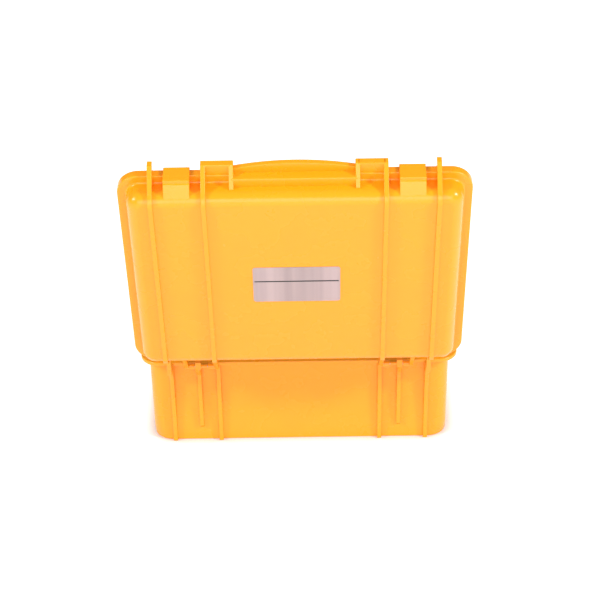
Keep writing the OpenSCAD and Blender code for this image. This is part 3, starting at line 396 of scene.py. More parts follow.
def opened(y, z):
    """Side-view place, on the open lid, of a point of the closed lid."""
    a = math.radians(LID_OPEN)
    return (HINGE_Y + (y - HINGE_Y) * math.cos(a) + (z - HINGE_Z) * math.sin(a),
            HINGE_Z - (y - HINGE_Y) * math.sin(a) + (z - HINGE_Z) * math.cos(a))


def open_matrix():
    """Turns the closed lid open, in metres."""
    axis = Vector((0, HINGE_Y * MM, HINGE_Z * MM))
    turn = Matrix.Rotation(math.radians(-LID_OPEN), 4, "X")
    return Matrix.Translation(axis) @ turn @ Matrix.Translation(-axis)


barrel_r = BARREL_D / 2
barrel_in_x = RIB_IN_X - RIB_T / 2
knuckle_x0 = barrel_in_x + BARREL_IN_LEN + HINGE_GAP
knuckle_x1 = RIB_MID_X + RIB_T / 2
barrel_out_x = knuckle_x1 + HINGE_GAP
hinge_end_x = barrel_out_x + BARREL_OUT_LEN
fin_y = RIM_Y + FIN_REACH
crest_r = EDGE_R + FACE_RIB_H
crest_y = BODY_Y - LID_DRAFT_IN - EDGE_R
crest_z = FACE_Z - EDGE_R
stop_low = LID_Z + PARTING_GAP

front_crest = arc((-crest_y, crest_z), crest_r, 90, 90 + CREST_TURN)
back_crest = arc((crest_y - LID_BACK_IN, crest_z), crest_r, 90 - CREST_TURN, 90)
fin_front = [(-fin_y, LID_Z + FIN_FOOT_H), (-fin_y, LID_Z)]
arm_back = [(HINGE_Y - barrel_r, HINGE_Z - barrel_r), (HINGE_Y, HINGE_Z),
            (HINGE_Y + barrel_r / 2, HINGE_Z + ARM_HEEL * barrel_r)]
stop_points = [(RIM_Y, LID_Z), (RIM_Y, stop_low), (HINGE_Y + STOP_BACK, stop_low),
               (HINGE_Y + STOP_BACK, LID_Z + STOP_H - barrel_r / 2),
               (HINGE_Y + STOP_BACK - barrel_r / 2, LID_Z + STOP_H), (RIM_Y + PARTING_GAP, LID_Z + STOP_H)]
arm_front = [(RIM_Y, LID_Z), (RIM_Y, HINGE_Z - barrel_r)]
inner_lid_rib = front_crest + fin_front + arm_front + arm_back + back_crest
outer_lid_rib = front_crest + fin_front + stop_points + back_crest
arm_outline = ([(ROOT_Y, LID_Z)] + arm_front + arm_back
               + [(back_crest[0][0] - FACE_RIB_H, back_crest[0][1] - FACE_RIB_H / 2),
                  (ROOT_Y, crest_z + EDGE_R / 2)])
short_lid_fin = [(-fin_y, LID_Z), (-fin_y, LID_Z + FIN_FOOT_H),
                 (-crest_y - crest_r * math.sin(math.radians(CREST_TURN)), crest_z),
                 (-ROOT_Y, crest_z), (-ROOT_Y, LID_Z)]
catch_top = BASE_H + CATCH_H
catch_y = -(RIM_Y + CATCH_REACH)
ledge_y = catch_y + CATCH_LEDGE
diagonal = math.radians(45)
catch_outline = [(-ROOT_Y, LID_Z), (catch_y, LID_Z), (catch_y, catch_top), (ledge_y, catch_top),
                 (ledge_y, catch_top + CATCH_LEDGE / 3),
                 (-crest_y - EDGE_R * math.cos(diagonal), crest_z + EDGE_R * math.sin(diagonal)),
                 (-ROOT_Y, crest_z)]


def wall_radius(inset):
    """Plan corner radius of a wall at this inset from the rim's edge."""
    return WALL_CORNER_R + OVERHANG - inset


def rim_edge(low, high):
    """Profile of a rim's rounded outer edge between two heights."""
    points = arc((RIM_ROUND, low + RIM_ROUND), RIM_ROUND, 270, 180, RIM_STEPS)
    points += arc((RIM_ROUND, high - RIM_ROUND), RIM_ROUND, 180, 90, RIM_STEPS)
    return [(d, z, RIM_CORNER_R - d) for d, z in points]


def lid_body():
    top = LID_Z + LID_RIM_T
    low_wall = OVERHANG + LID_DRAFT_IN * (LID_RIM_T + BLEND_R) / (LID_H - EDGE_R)
    centre = (OVERHANG + LID_DRAFT_IN + EDGE_R, crest_z)
    blend = arc((low_wall - BLEND_R, top + BLEND_R), BLEND_R, 270, 360, LID_BLEND_STEPS)
    face_edge = arc(centre, EDGE_R, 180, 90, FACE_STEPS)
    profile = rim_edge(LID_Z, top)
    profile += [(d, z, wall_radius(d), LID_BACK_IN) for d, z in blend]
    profile += [(d, z, WALL_CORNER_R - (d - OVERHANG - LID_DRAFT_IN), LID_BACK_IN) for d, z in face_edge]
    return swept(profile, "lid_case")


def lid_cavity():
    inset = OVERHANG + WALL
    inner_r = WALL_CORNER_R - WALL
    edge = EDGE_R - WALL
    centre = (inset + LID_DRAFT_IN + edge, crest_z)
    profile = [(inset - MOUTH, LID_Z - 2 * PAST, inner_r + MOUTH, LID_BACK_IN),
               (inset - MOUTH, LID_Z, inner_r + MOUTH, LID_BACK_IN),
               (inset, LID_Z + MOUTH, inner_r, LID_BACK_IN)]
    face_edge = arc(centre, edge, 180, 90)
    profile += [(d, z, inner_r - (d - inset - LID_DRAFT_IN), LID_BACK_IN) for d, z in face_edge]
    return swept(profile)


def seal_ring(width, width_top, z0, z1):
    """A closed ring along the rims, its middle line where the seal lies."""
    outer, inner = SEAL_INSET - width / 2, SEAL_INSET + width / 2
    outer_top, inner_top = SEAL_INSET - width_top / 2, SEAL_INSET + width_top / 2
    profile = [(outer, z0), (outer_top, z1), (inner_top, z1), (inner, z0)]
    return swept([(d, z, RIM_CORNER_R - d) for d, z in profile], looped=True)


def lip():
    """The curved lip over the handle, as an arc cut between the short fins."""
    half = RIB_SHORT_X
    sag = LIP_MID_REACH - LIP_END_REACH
    radius = (half * half + sag * sag) / (2 * sag)
    turn = math.degrees(math.asin(half / radius))
    centre = (0.0, radius - RIM_Y - LIP_MID_REACH)
    front = arc(centre, radius, 270 - turn, 270 + turn, LIP_STEPS)
    bm = bmesh.new()
    draw_out(bm, [(x, y, LID_Z) for x, y in front + [(half, -ROOT_Y), (-half, -ROOT_Y)]], 2, LIP_T)
    bmesh.ops.recalc_face_normals(bm, faces=bm.faces)
    round_edges(bm, EDGE_ROUND)
    return object_from(bm, "lip")


def band(half, y0, y1, z0, z1, width):
    """A straight block across the middle, from side-view y0 to y1 and z0 to z1."""
    return plate(0.0, 2 * half, [(y0, z0), (y1, z0), (y1, z1), (y0, z1)], width, mirrored=False)


def build_lid():
    lid = lid_body()
    bar_x = (RIB_SHORT_X + RIB_IN_X) / 2
    bar_outline = [(-fin_y, LID_Z), (-ROOT_Y, LID_Z),
                   (-ROOT_Y, LID_Z + BAR_T), (-fin_y, LID_Z + BAR_T)]
    combine(lid, [
        plate(RIB_OUT_X, RIB_T, outer_lid_rib),
        plate(RIB_IN_X, RIB_T, inner_lid_rib),
        plate(hinge_end_x - RIB_T / 2, RIB_T, arm_outline),
        plate(RIB_SHORT_X, RIB_T, short_lid_fin),
        plate(bar_x, RIB_IN_X - RIB_SHORT_X, bar_outline),
        plate(LATCH_X, LATCH_W, catch_outline),
        band(RIB_SHORT_X, -RIM_Y, -ROOT_Y, LID_Z, LID_Z + LIP_BAND_H, BAND_ROUND),
        lip(),
        rod(barrel_in_x, barrel_in_x + BARREL_IN_LEN, HINGE_Y, HINGE_Z, BARREL_D, ROD_ROUND),
        rod(barrel_out_x, hinge_end_x, HINGE_Y, HINGE_Z, BARREL_D, ROD_ROUND),
    ])
    combine(lid, [
        lid_cavity(),
        seal_ring(GROOVE_W, GROOVE_W, LID_Z - PAST, LID_Z + GROOVE_D),
        rod(barrel_in_x - PAST, hinge_end_x + PAST, HINGE_Y, HINGE_Z, PIN_D + 2 * PIN_FIT),
    ], "DIFFERENCE")
    return finish_mesh(lid, open_matrix())


# Base

under_rim = BASE_H - BASE_RIM_T


def wall_inset(z):
    """Inset of the base's wall at height z."""
    return OVERHANG + DRAFT_IN * (BASE_H - z) / (BASE_H - FOOT_R)


def foot_radius(inset, z):
    """Plan corner radius near the floor, where the upright corners grow rounder."""
    return wall_radius(inset) + FOOT_CORNER * (1 - z / FOOT_CORNER_H) ** 2


def base_body():
    foot = arc((OVERHANG + DRAFT_IN + FOOT_R, FOOT_R), FOOT_R, 270, 180, FOOT_STEPS)
    blend_z = under_rim - BASE_BLEND_R
    blend_d = wall_inset(blend_z) - BASE_BLEND_R
    profile = [(d, z, foot_radius(d, z)) for d, z in foot + [(wall_inset(z), z) for z in CORNER_LEVELS]]
    profile += [(d, z, wall_radius(d))
                for d, z in arc((blend_d, blend_z), BASE_BLEND_R, 0, 90, BASE_BLEND_STEPS)]
    return swept(profile + rim_edge(under_rim, BASE_H), "base_case")


def base_cavity():
    inner_r = WALL_CORNER_R - WALL
    edge = EDGE_R - WALL
    centre = (OVERHANG + WALL + DRAFT_IN + edge, WALL + edge)
    profile = [(d, z, inner_r - (d - OVERHANG - WALL - DRAFT_IN)) for d, z in arc(centre, edge, 270, 180)]
    profile += [(OVERHANG + WALL, BASE_H - MOUTH, inner_r),
                (OVERHANG + WALL - MOUTH, BASE_H, inner_r + MOUTH),
                (OVERHANG + WALL - MOUTH, BASE_H + 3 * PAST, inner_r + MOUTH)]
    return swept(profile)


rib_crest_y = BODY_Y + BASE_RIB_H
rib_floor_y = BODY_Y - DRAFT_IN + RIB_FOOT_H
seat_level = stop_low - STOP_GAP
open_angle = math.radians(LID_OPEN)
seat_rise = HINGE_Z + (seat_level - HINGE_Z) * math.cos(open_angle) - BASE_H + PARTING_GAP
seat_top_y = HINGE_Y + seat_rise / math.sin(open_angle)
seat_tip = opened(HINGE_Y + STOP_BACK, seat_level)
seat_top = opened(seat_top_y, seat_level)
rear_outer_rib = [(ROOT_Y, 0), (rib_floor_y, 0), (rib_crest_y, SEAT_LOW_Z), seat_tip, seat_top,
                  (ROOT_Y, BASE_H - PARTING_GAP)]
rear_inner_rib = [(ROOT_Y, 0), (rib_floor_y, 0), (rib_crest_y, under_rim), (ROOT_Y, under_rim)]
rim_back = [(RIM_Y + PARTING_GAP, BASE_H - SINK), (ROOT_Y, BASE_H - SINK)]
rib_nose = [(HINGE_Y + barrel_r, HINGE_Z - barrel_r), (HINGE_Y + barrel_r, HINGE_Z + KNUCKLE_UP),
            (HINGE_Y - barrel_r, HINGE_Z + KNUCKLE_UP), (HINGE_Y - barrel_r, HINGE_Z)]
web_nose = [(HINGE_Y, HINGE_Z - KNUCKLE_D / 2), (HINGE_Y, HINGE_Z), (HINGE_Y - barrel_r, HINGE_Z)]
hinge_rib = [(ROOT_Y, MID_FOOT_Z), (BODY_Y - DRAFT_IN, MID_FOOT_Z), (rib_floor_y, MID_FOOT_Z + RIB_FOOT_H),
             (rib_crest_y, SEAT_LOW_Z + BASE_RIB_H), (HINGE_Y + barrel_r - SINK, HINGE_Z - barrel_r + SINK),
             (RIM_Y, BASE_H - 2 * SINK), (ROOT_Y, BASE_H - 2 * SINK)]
web_root = [(ROOT_Y, under_rim + SINK), (RIM_Y, under_rim + SINK)]
knuckle_block = web_root + rib_nose + rim_back
knuckle_web = web_root + web_nose + rim_back
front_long_rib = [(-ROOT_Y, 0), (-rib_floor_y, 0), (-rib_crest_y, FLARE_LOW_Z), (-fin_y, FLARE_FULL_Z),
                  (-fin_y, BASE_H), (-ROOT_Y, BASE_H)]
front_short_rib = [(-ROOT_Y, FLARE_LOW_Z), (-BODY_Y, FLARE_LOW_Z + BASE_RIB_H), (-fin_y, FLARE_FULL_Z),
                   (-fin_y, BASE_H), (-ROOT_Y, BASE_H)]
lug_outline = [(-ROOT_Y, LATCH_Z - LUG_D), (-BODY_Y, LATCH_Z - LUG_D), (LATCH_Y, LATCH_Z - LUG_D / 2),
               (LATCH_Y, LATCH_Z + LUG_D / 2), (-RIM_Y, under_rim), (-ROOT_Y, under_rim)]

panel_len = RIM_LEN - 2 * wall_inset(UNDER_PANEL_Z) - 2 * WALL - 2 * PANEL_GAP
panel_dep = RIM_DEP - 2 * wall_inset(UNDER_PANEL_Z) - 2 * WALL - 2 * PANEL_GAP


def build_base():
    base = base_body()
    lugs = []
    for x in (LATCH_X - LUG_X, LATCH_X + LUG_X):
        lugs.append(plate(x, LUG_T, lug_outline))
        lugs.append(rod(x - LUG_T / 2, x + LUG_T / 2, LATCH_Y, LATCH_Z, LUG_D, ROD_ROUND))
    combine(base, [
        plate(RIB_OUT_X, RIB_T, rear_outer_rib),
        plate(RIB_IN_X, RIB_T, rear_inner_rib),
        plate(RIB_MID_X, RIB_T, hinge_rib),
        plate((knuckle_x0 + RIB_MID_X) / 2, RIB_MID_X - knuckle_x0, knuckle_web),
        rod(knuckle_x0, RIB_MID_X, HINGE_Y, HINGE_Z, KNUCKLE_D, ROD_ROUND),
        plate(knuckle_x1 + SINK / 2 - KNUCKLE_T / 2, KNUCKLE_T, knuckle_block),
        plate(RIB_OUT_X, RIB_T, front_long_rib),
        plate(RIB_IN_X, RIB_T, front_long_rib),
        plate(RIB_SHORT_X, RIB_T, front_short_rib),
    ] + lugs)
    combine(base, [
        base_cavity(),
        rod(knuckle_x0 - PAST, knuckle_x1 + PAST, HINGE_Y, HINGE_Z, PIN_D + 2 * PIN_FIT),
        rod(LATCH_X - LUG_X - LUG_T, LATCH_X + LUG_X + LUG_T, LATCH_Y, LATCH_Z, LATCH_PIN_D + 2 * PIN_FIT),
        rod(RIB_SHORT_X - RIB_T, RIB_IN_X + RIB_T, HANDLE_Y, HANDLE_Z, HANDLE_PIN_D + 2 * PIN_FIT),
    ], "DIFFERENCE")
    posts = [post(sx * (panel_len / 2 - SCREW_INSET), sy * (panel_dep / 2 - SCREW_INSET),
                  WALL / 2, UNDER_PANEL_Z, POST_D)
             for sx in (-1, 1) for sy in (-1, 0, 1)]
    combine(base, [seal_ring(TONGUE_W, TONGUE_TOP_W, BASE_H - PAST, BASE_H + TONGUE_H)] + posts)
    return finish_mesh(base)


# Materials

GLOSS_SWING = 0.04
# Where the drift of the colour is at its darkest and at its lightest
DRIFT_ENDS = (0.3, 0.7)


def node(tree, kind, **values):
    """Adds a shader node and sets its properties or, by socket name, its inputs."""
    made = tree.nodes.new(kind)
    for key, value in values.items():
        if hasattr(made, key):
            setattr(made, key, value)
        else:
            made.inputs[key.replace("_", " ")].default_value = value
    return made


def surface(name, colour, roughness=0.45, metallic=0.0, mottle_and_sheen=0.05, mottle_scale=45.0,
            grain=0.00001, grain_scale=1500.0, stretch=(1.0, 1.0, 1.0), transmission=0.0):
    """A material with colour that drifts a little, uneven gloss and a fine moulded or brushed grain. Where
    the drift is stretched into streaks, it is painted sheen.
    """
    made = bpy.data.materials.new(name)
    made.use_nodes = True
    tree = made.node_tree
    shader = tree.nodes["Principled BSDF"]
    link = tree.links.new
    shader.inputs["Metallic"].default_value = metallic
    shader.inputs["Transmission Weight"].default_value = transmission
    place = node(tree, "ShaderNodeTexCoord")
    mapping = node(tree, "ShaderNodeMapping")
    mapping.inputs["Scale"].default_value = stretch
    link(place.outputs["Object"], mapping.inputs["Vector"])
    drift = node(tree, "ShaderNodeTexNoise", Scale=mottle_scale, Detail=3.0)
    link(mapping.outputs["Vector"], drift.inputs["Vector"])
    ramp = node(tree, "ShaderNodeValToRGB")
    for stop, position, share in zip(ramp.color_ramp.elements, DRIFT_ENDS, (1 - mottle_and_sheen, 1 + mottle_and_sheen)):
        stop.position = position
        stop.color = (*(min(1.0, c * share) for c in colour), 1)
    link(drift.outputs["Fac"], ramp.inputs["Fac"])
    link(ramp.outputs["Color"], shader.inputs["Base Color"])
    gloss = node(tree, "ShaderNodeMapRange")
    gloss.inputs["To Min"].default_value = roughness - GLOSS_SWING
    gloss.inputs["To Max"].default_value = roughness + GLOSS_SWING
    link(drift.outputs["Fac"], gloss.inputs["Value"])
    link(gloss.outputs["Result"], shader.inputs["Roughness"])
    fine = node(tree, "ShaderNodeTexNoise", Scale=grain_scale, Detail=2.0)
    link(mapping.outputs["Vector"], fine.inputs["Vector"])
    bump = node(tree, "ShaderNodeBump", Strength=0.5, Distance=grain)
    link(fine.outputs["Fac"], bump.inputs["Height"])
    link(bump.outputs["Normal"], shader.inputs["Normal"])
    return made


FINISHES = {
    "case_plastic": dict(colour=(0.98, 0.365, 0.006), roughness=0.27, mottle_and_sheen=0.012),
    "seal_rubber": dict(colour=(0.02, 0.02, 0.02), roughness=0.7),
    # On the label foil the drift of colour is stretched into streaks: painted sheen, light and dark bands
    # across the foil.
    "label_foil": dict(colour=(0.44, 0.34, 0.34), roughness=0.5, metallic=0.4, mottle_and_sheen=0.16,
                       mottle_scale=90.0, stretch=(1.0, 0.02, 0.02)),
    "pin_steel": dict(colour=(0.55, 0.56, 0.58), roughness=0.3, metallic=1.0),
    "screw_steel": dict(colour=(0.60, 0.61, 0.62), roughness=0.28, metallic=1.0),
    "panel_paint": dict(colour=(0.10, 0.11, 0.12), roughness=0.5, grain=0.00003, grain_scale=900.0),
    "bezel_plastic": dict(colour=(0.012, 0.012, 0.014), roughness=0.42),
    "window_acrylic": dict(colour=(0.92, 0.95, 0.95), roughness=0.06, mottle_and_sheen=0.005,
                           grain=0.000001, transmission=1.0),
    "display_glass": dict(colour=(0.30, 0.36, 0.25), roughness=0.25, mottle_and_sheen=0.03),
    "knob_plastic": dict(colour=(0.016, 0.016, 0.018), roughness=0.4),
    "switch_plastic": dict(colour=(0.03, 0.11, 0.075), roughness=0.5),
    "pot_case": dict(colour=(0.45, 0.46, 0.48), roughness=0.35, metallic=1.0),
    "button_red": dict(colour=(0.50, 0.012, 0.010), roughness=0.3),
    "rocker_red": dict(colour=(0.48, 0.010, 0.010), roughness=0.28),
    "black_plastic": dict(colour=(0.014, 0.014, 0.015), roughness=0.45),
    "blade_brass": dict(colour=(0.70, 0.45, 0.15), roughness=0.25, metallic=1.0),
    "fuse_glass": dict(colour=(0.9, 0.93, 0.93), roughness=0.05, mottle_and_sheen=0.005, transmission=1.0),
    "terminal_black": dict(colour=(0.010, 0.010, 0.011), roughness=0.33),
    "terminal_red": dict(colour=(0.42, 0.010, 0.008), roughness=0.33),
    "lead_blue": dict(colour=(0.02, 0.09, 0.32), roughness=0.4),
    "board_green": dict(colour=(0.01, 0.12, 0.04), roughness=0.35),
    "core_iron": dict(colour=(0.10, 0.10, 0.11), roughness=0.5, metallic=0.6, stretch=(1.0, 20.0, 1.0)),
    "coil_tape": dict(colour=(0.60, 0.30, 0.03), roughness=0.4),
    "capacitor_blue": dict(colour=(0.015, 0.03, 0.16), roughness=0.3),
    "resistor_white": dict(colour=(0.72, 0.69, 0.58), roughness=0.7),
    "sink_black": dict(colour=(0.02, 0.02, 0.022), roughness=0.4, metallic=0.8),
    "chip_black": dict(colour=(0.012, 0.012, 0.012), roughness=0.5),
}


def wear(obj, slot_name):
    """Gives an object one finish."""
    obj.data.materials.clear()
    obj.data.materials.append(materials[slot_name])


# Pieces

body_of_node = {n: body for body, nodes in record["behaviour"]["bodies"].items() for n in nodes}
slot_of_node = {s["node"]: s["material_slot"] for s in record["subparts"]}


def stand_for(piece, node_name):
    """The piece takes a node's place, body and finish."""
    wear(piece, slot_of_node[node_name])
    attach(piece, body_of_node[node_name])
    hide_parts(node_name)


def softened(node_name, width):
    """Stands a copy with its hard edges rounded for a node, width in millimetres."""
    mesh = frame["nodes"][node_name].data.copy()
    bm = bmesh.new()
    bm.from_mesh(mesh)
    bmesh.ops.remove_doubles(bm, verts=bm.verts, dist=SOFT_SHORTEST_EDGE * MM)
    bmesh.ops.dissolve_limit(bm, angle_limit=math.radians(SOFT_FLAT_ANGLE), verts=bm.verts, edges=bm.edges)
    round_edges(bm, width * MM, SOFT_LEAST_ANGLE, SOFT_STEPS)
    for face in bm.faces:
        face.smooth = True
    bm.to_mesh(mesh)
    bm.free()
    piece = bpy.data.objects.new(node_name + "_moulded", mesh)
    scene.collection.objects.link(piece)
    mesh.set_sharp_from_angle(angle=math.radians(SOFT_SHARP_ANGLE))
    apply_modifier(piece, "WEIGHTED_NORMAL", keep_sharp=True)
    stand_for(piece, node_name)


# Marks: plain numbers, ticks and pointers, a little proud of what they are on

LABEL_T = 0.4
LABEL_DEP = 34.6
LABEL_SHIFT = 0.15
RULE_LEN = 61.1
RULE_W = 1.1
RULE_INSET = 13.5
MARK_T = 0.06
TICK_W = 0.6
TICK_LEN = 2.4
NUMBER_H = 4.2
# Gap between a knob and its ticks, and between what is numbered and the number's middle
TICK_GAP = 1.5
NUMBER_OFF = 0.8 * NUMBER_H
RING_STEPS = 20
RANGE_ANGLES = (150.0, 120.0, 90.0, 60.0, 30.0)
ZERO_ANGLES = (225.0, 180.0, 135.0, 90.0, 45.0, 0.0, -45.0)
DIGIT_H = 17.0
DIGIT_W = 9.0
DIGIT_STEP = 15.0
DIGIT_STROKE = 1.9
DIGIT_GAP = 0.35 * DIGIT_STROKE
DIGIT_COUNT = 4
# The pointer's ends, as shares of the knob's radius
POINTER_IN = 0.25
POINTER_OUT = 0.9
TERMINAL_COUNT = 4


def node_box(node_name):
    """Lowest corner, highest corner and middle of a node, in millimetres."""
    points = [v.co / MM for v in frame["nodes"][node_name].data.vertices]
    low = Vector([min(p[i] for p in points) for i in range(3)])
    high = Vector([max(p[i] for p in points) for i in range(3)])
    return low, high, (low + high) / 2


def bar(bm, start, end, width, z):
    """A thin flat bar between two plan points, half sunk in the surface at height z."""
    start, end = Vector(start), Vector(end)
    along = (end - start).normalized()
    side = Vector((-along.y, along.x)) * width / 2
    corners = [start + side, start - side, end - side, end + side]
    draw_out(bm, [(p.x, p.y, z - MARK_T) for p in corners], 2, 2 * MARK_T)


def around(centre, radius, angle):
    """Plan point at a radius and an angle in degrees from a middle."""
    return arc(centre, radius, angle, angle, 1)[0]


def knob_circle(node_name):
    """Middle and radius of a knob."""
    low, high, middle = node_box(node_name)
    return middle, (high.x - low.x) / 2


def ticks(bm, centre, radius, angles, z):
    """Short bars that point away from a middle."""
    for angle in angles:
        bar(bm, around(centre, radius, angle), around(centre, radius + TICK_LEN, angle), TICK_W, z)


def ring_mark(bm, centre, radius, z):
    """A ring drawn in short bars."""
    points = arc(centre, radius, 0, 360, RING_STEPS)
    for start, end in zip(points, points[1:]):
        bar(bm, start, end, TICK_W, z)


def number(bm, text, centre, z):
    """Adds a number in the plain built-in face."""
    curve = bpy.data.curves.new("number", "FONT")
    curve.body = text
    curve.size = NUMBER_H
    curve.align_x = "CENTER"
    curve.align_y = "CENTER"
    curve.extrude = MARK_T
    holder = bpy.data.objects.new("number", curve)
    scene.collection.objects.link(holder)
    mesh = bpy.data.meshes.new_from_object(holder)
    mesh.transform(Matrix.Translation((centre[0], centre[1], z)))
    bm.from_mesh(mesh)
    bpy.data.objects.remove(holder)
    bpy.data.meshes.remove(mesh)


def mark_piece(bm, name, slot_name, body):
    """Turns drawn marks into a piece that rides a body."""
    piece = object_from(bm, name)
    piece.data.transform(Matrix.Scale(MM, 4))
    for polygon in piece.data.polygons:
        polygon.use_smooth = False
    wear(piece, slot_name)
    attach(piece, body)


def panel_marks():
    """Numbered ticks round the range knob, ticks round the zero knob, numbers at the terminals
    and a bar and a ring beside the rocker."""
    bm = bmesh.new()
    panel = node_box("front_panel")[1].z
    range_mid, range_r = knob_circle("range_knob")
    ticks(bm, range_mid, range_r + TICK_GAP, RANGE_ANGLES, panel)
    for i, angle in enumerate(RANGE_ANGLES, 1):
        reach = range_r + TICK_GAP + TICK_LEN + NUMBER_OFF
        number(bm, str(i), around(range_mid, reach, angle), panel)
    zero_mid, zero_r = knob_circle("zero_knob")
    ticks(bm, zero_mid, zero_r + TICK_GAP, ZERO_ANGLES, panel)
    for i in range(1, TERMINAL_COUNT + 1):
        _, high, middle = node_box("terminal_insulator_%d" % i)
        number(bm, str(i), (middle.x, high.y + NUMBER_OFF), panel)
    low, high, _ = node_box("rocker_housing")
    beside = low.x - NUMBER_OFF
    bar(bm, (beside, high.y - NUMBER_H), (beside, high.y), TICK_W, panel)
    ring_mark(bm, (beside, low.y + NUMBER_H / 2), NUMBER_H / 2, panel)
    mark_piece(bm, "panel_marks", "resistor_white", body_of_node["front_panel"])


def display_digits():
    """Four noughts of a seven-segment display, with a point after the first."""
    bm = bmesh.new()
    _, high, middle = node_box("display_module")
    z = high.z
    half_w, half_h = DIGIT_W / 2, DIGIT_H / 2
    across = half_w - DIGIT_GAP
    upright = half_h - 2 * DIGIT_GAP
    for i in range(DIGIT_COUNT):
        x = middle.x + (i - (DIGIT_COUNT - 1) / 2) * DIGIT_STEP
        for side in (-1, 1):
            level = middle.y + side * half_h
            edge = x + side * half_w
            bar(bm, (x - across, level), (x + across, level), DIGIT_STROKE, z)
            for low_end in (middle.y - half_h + DIGIT_GAP, middle.y + DIGIT_GAP):
                bar(bm, (edge, low_end), (edge, low_end + upright), DIGIT_STROKE, z)
    point_x = middle.x - (DIGIT_COUNT / 2 - 1) * DIGIT_STEP
    point_y = middle.y - half_h
    bar(bm, (point_x - DIGIT_STROKE / 2, point_y), (point_x + DIGIT_STROKE / 2, point_y), DIGIT_STROKE, z)
    mark_piece(bm, "display_digits", "bezel_plastic", body_of_node["display_module"])


def knob_pointer(node_name, angle, name):
    """A line on a knob's top that points at an angle."""
    bm = bmesh.new()
    middle, radius = knob_circle(node_name)
    inner, outer = (around(middle, radius * share, angle) for share in (POINTER_IN, POINTER_OUT))
    bar(bm, inner, outer, 2 * TICK_W, node_box(node_name)[1].z)
    mark_piece(bm, name, "resistor_white", body_of_node[node_name])


def label_rule():
    """The dark rule across the label, drawn on the closed lid and opened with it."""
    y = -(LID_BACK_IN / 2 + LABEL_SHIFT + LABEL_DEP / 2 - RULE_INSET)
    top = FACE_Z + LABEL_T
    rule = band(RULE_LEN / 2, y - RULE_W / 2, y + RULE_W / 2, top - MARK_T, top + MARK_T, MARK_T / 4)
    rule.name = "label_rule"
    finish_mesh(rule, open_matrix())
    wear(rule, "black_plastic")
    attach(rule, body_of_node["name_label"])


# Stage

# The floor's own glow against the case and clear of it, the share of open sky there,
# and how far from the case it changes, in metres. The glow fading out towards the case paints a contact
# shade.
FLOOR_GLOW = (0.0, 0.65)
FLOOR_OPEN = (0.55, 0.97)
FLOOR_CONTACT = 0.016
FLOOR_SIZE = 30.0
WHITE = (1, 1, 1, 1)
PAPER = (0.80, 0.80, 0.80, 1)


def build_floor():
    bpy.ops.mesh.primitive_plane_add(size=FLOOR_SIZE, location=(0, 0, 0))
    floor = bpy.context.object
    floor.name = "floor"
    made = bpy.data.materials.new("floor_white")
    made.use_nodes = True
    tree = made.node_tree
    tree.nodes.clear()
    link = tree.links.new
    out = node(tree, "ShaderNodeOutputMaterial")
    paper = node(tree, "ShaderNodeBsdfDiffuse", Color=PAPER)
    glow = node(tree, "ShaderNodeEmission", Color=WHITE, Strength=1.0)
    path = node(tree, "ShaderNodeLightPath")
    either = node(tree, "ShaderNodeMath", operation="MAXIMUM")
    any_ray = node(tree, "ShaderNodeMath", operation="MAXIMUM")
    share = node(tree, "ShaderNodeMath", operation="MULTIPLY")
    # Ambient occlusion dims the floor's glow near the case: a painted contact shade.
    nearness = node(tree, "ShaderNodeAmbientOcclusion", Distance=FLOOR_CONTACT, samples=8)
    contact_shade_glow = node(tree, "ShaderNodeMapRange")
    sockets = ("From Min", "From Max", "To Min", "To Max")
    for socket, value in zip(sockets, (*FLOOR_OPEN, *FLOOR_GLOW)):
        contact_shade_glow.inputs[socket].default_value = value
    link(nearness.outputs["AO"], contact_shade_glow.inputs["Value"])
    link(contact_shade_glow.outputs["Result"], share.inputs[1])
    both = node(tree, "ShaderNodeAddShader")
    link(path.outputs["Is Camera Ray"], either.inputs[0])
    link(path.outputs["Is Glossy Ray"], either.inputs[1])
    link(either.outputs[0], any_ray.inputs[0])
    link(path.outputs["Is Transmission Ray"], any_ray.inputs[1])
    link(any_ray.outputs[0], share.inputs[0])
    link(share.outputs[0], glow.inputs["Strength"])
    link(paper.outputs[0], both.inputs[0])
    link(glow.outputs[0], both.inputs[1])
    link(both.outputs[0], out.inputs["Surface"])
    floor.data.materials.append(made)


WORLD_LEVEL = 0.56
WORLD_GLOSS = 0.10
SOFTBOX_DISTANCE = 1.6
SOFTBOX_AIM = Vector((0, 0.05, 0.1))
# Turn, rise, size and power of each softbox
SOFTBOXES = {
    "softbox_left": (62.0, 33.0, (0.16, 0.24), 10.0),
    "softbox_right": (-62.0, 33.0, (0.16, 0.24), 13.0),
    "softbox_fill": (0.0, 18.0, (1.2, 0.8), 9.5),
}


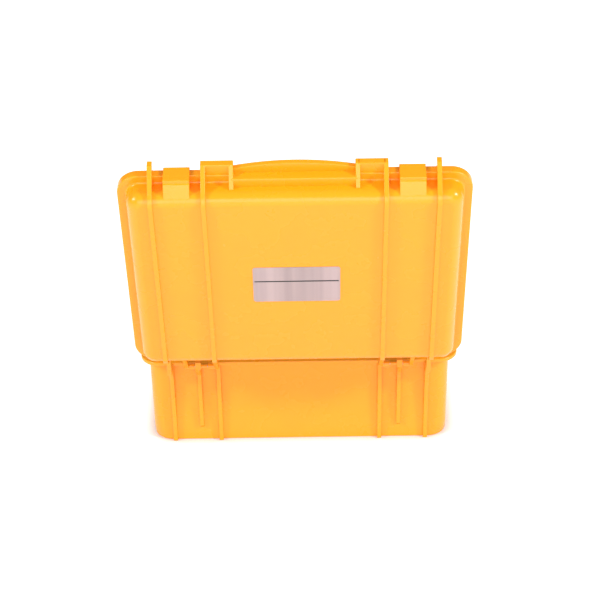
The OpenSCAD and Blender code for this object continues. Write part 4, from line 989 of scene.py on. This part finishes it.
def build_world():
    world = bpy.data.worlds.new("studio")
    scene.world = world
    world.use_nodes = True
    tree = world.node_tree
    tree.nodes.clear()
    link = tree.links.new
    out = node(tree, "ShaderNodeOutputWorld")
    path = node(tree, "ShaderNodeLightPath")
    fill = node(tree, "ShaderNodeBackground", Color=WHITE, Strength=WORLD_LEVEL)
    seen = node(tree, "ShaderNodeBackground", Color=WHITE, Strength=1.0)
    gloss = node(tree, "ShaderNodeBackground", Color=WHITE, Strength=WORLD_GLOSS)
    first = node(tree, "ShaderNodeMixShader")
    second = node(tree, "ShaderNodeMixShader")
    link(path.outputs["Is Glossy Ray"], first.inputs[0])
    link(fill.outputs[0], first.inputs[1])
    link(gloss.outputs[0], first.inputs[2])
    link(path.outputs["Is Camera Ray"], second.inputs[0])
    link(first.outputs[0], second.inputs[1])
    link(seen.outputs[0], second.inputs[2])
    link(second.outputs[0], out.inputs["Surface"])


def softbox(name, turn, rise, size, power):
    """An area lamp aimed at the case."""
    data = bpy.data.lights.new(name, "AREA")
    data.shape = "RECTANGLE"
    data.size, data.size_y = size
    data.energy = power
    lamp = bpy.data.objects.new(name, data)
    scene.collection.objects.link(lamp)
    away = direction(turn, rise)
    lamp.location = SOFTBOX_AIM + away * SOFTBOX_DISTANCE
    lamp.rotation_euler = away.to_track_quat("Z", "Y").to_euler()


def build_lights():
    for name, (turn, rise, size, power) in SOFTBOXES.items():
        softbox(name, turn, rise, size, power)


# The scene

place_camera()
materials = {name: surface(name, **finish) for name, finish in FINISHES.items()}
for node_name, node_object in frame["nodes"].items():
    wear(node_object, slot_of_node[node_name])

stand_for(build_lid(), "lid_shell")
stand_for(build_base(), "base_shell")

for node_name, width in SOFT_NODES.items():
    softened(node_name, width)
for part, width in SOFT_TERMINALS.items():
    for i in range(1, TERMINAL_COUNT + 1):
        softened("terminal_%s_%d" % (part, i), width)
softened("panel_screws", SOFT_SCREWS)

panel_marks()
display_digits()
knob_pointer("range_knob", RANGE_ANGLES[0], "range_pointer")
label_rule()

build_floor()
build_world()
build_lights()
scene.view_settings.view_transform = "Standard"
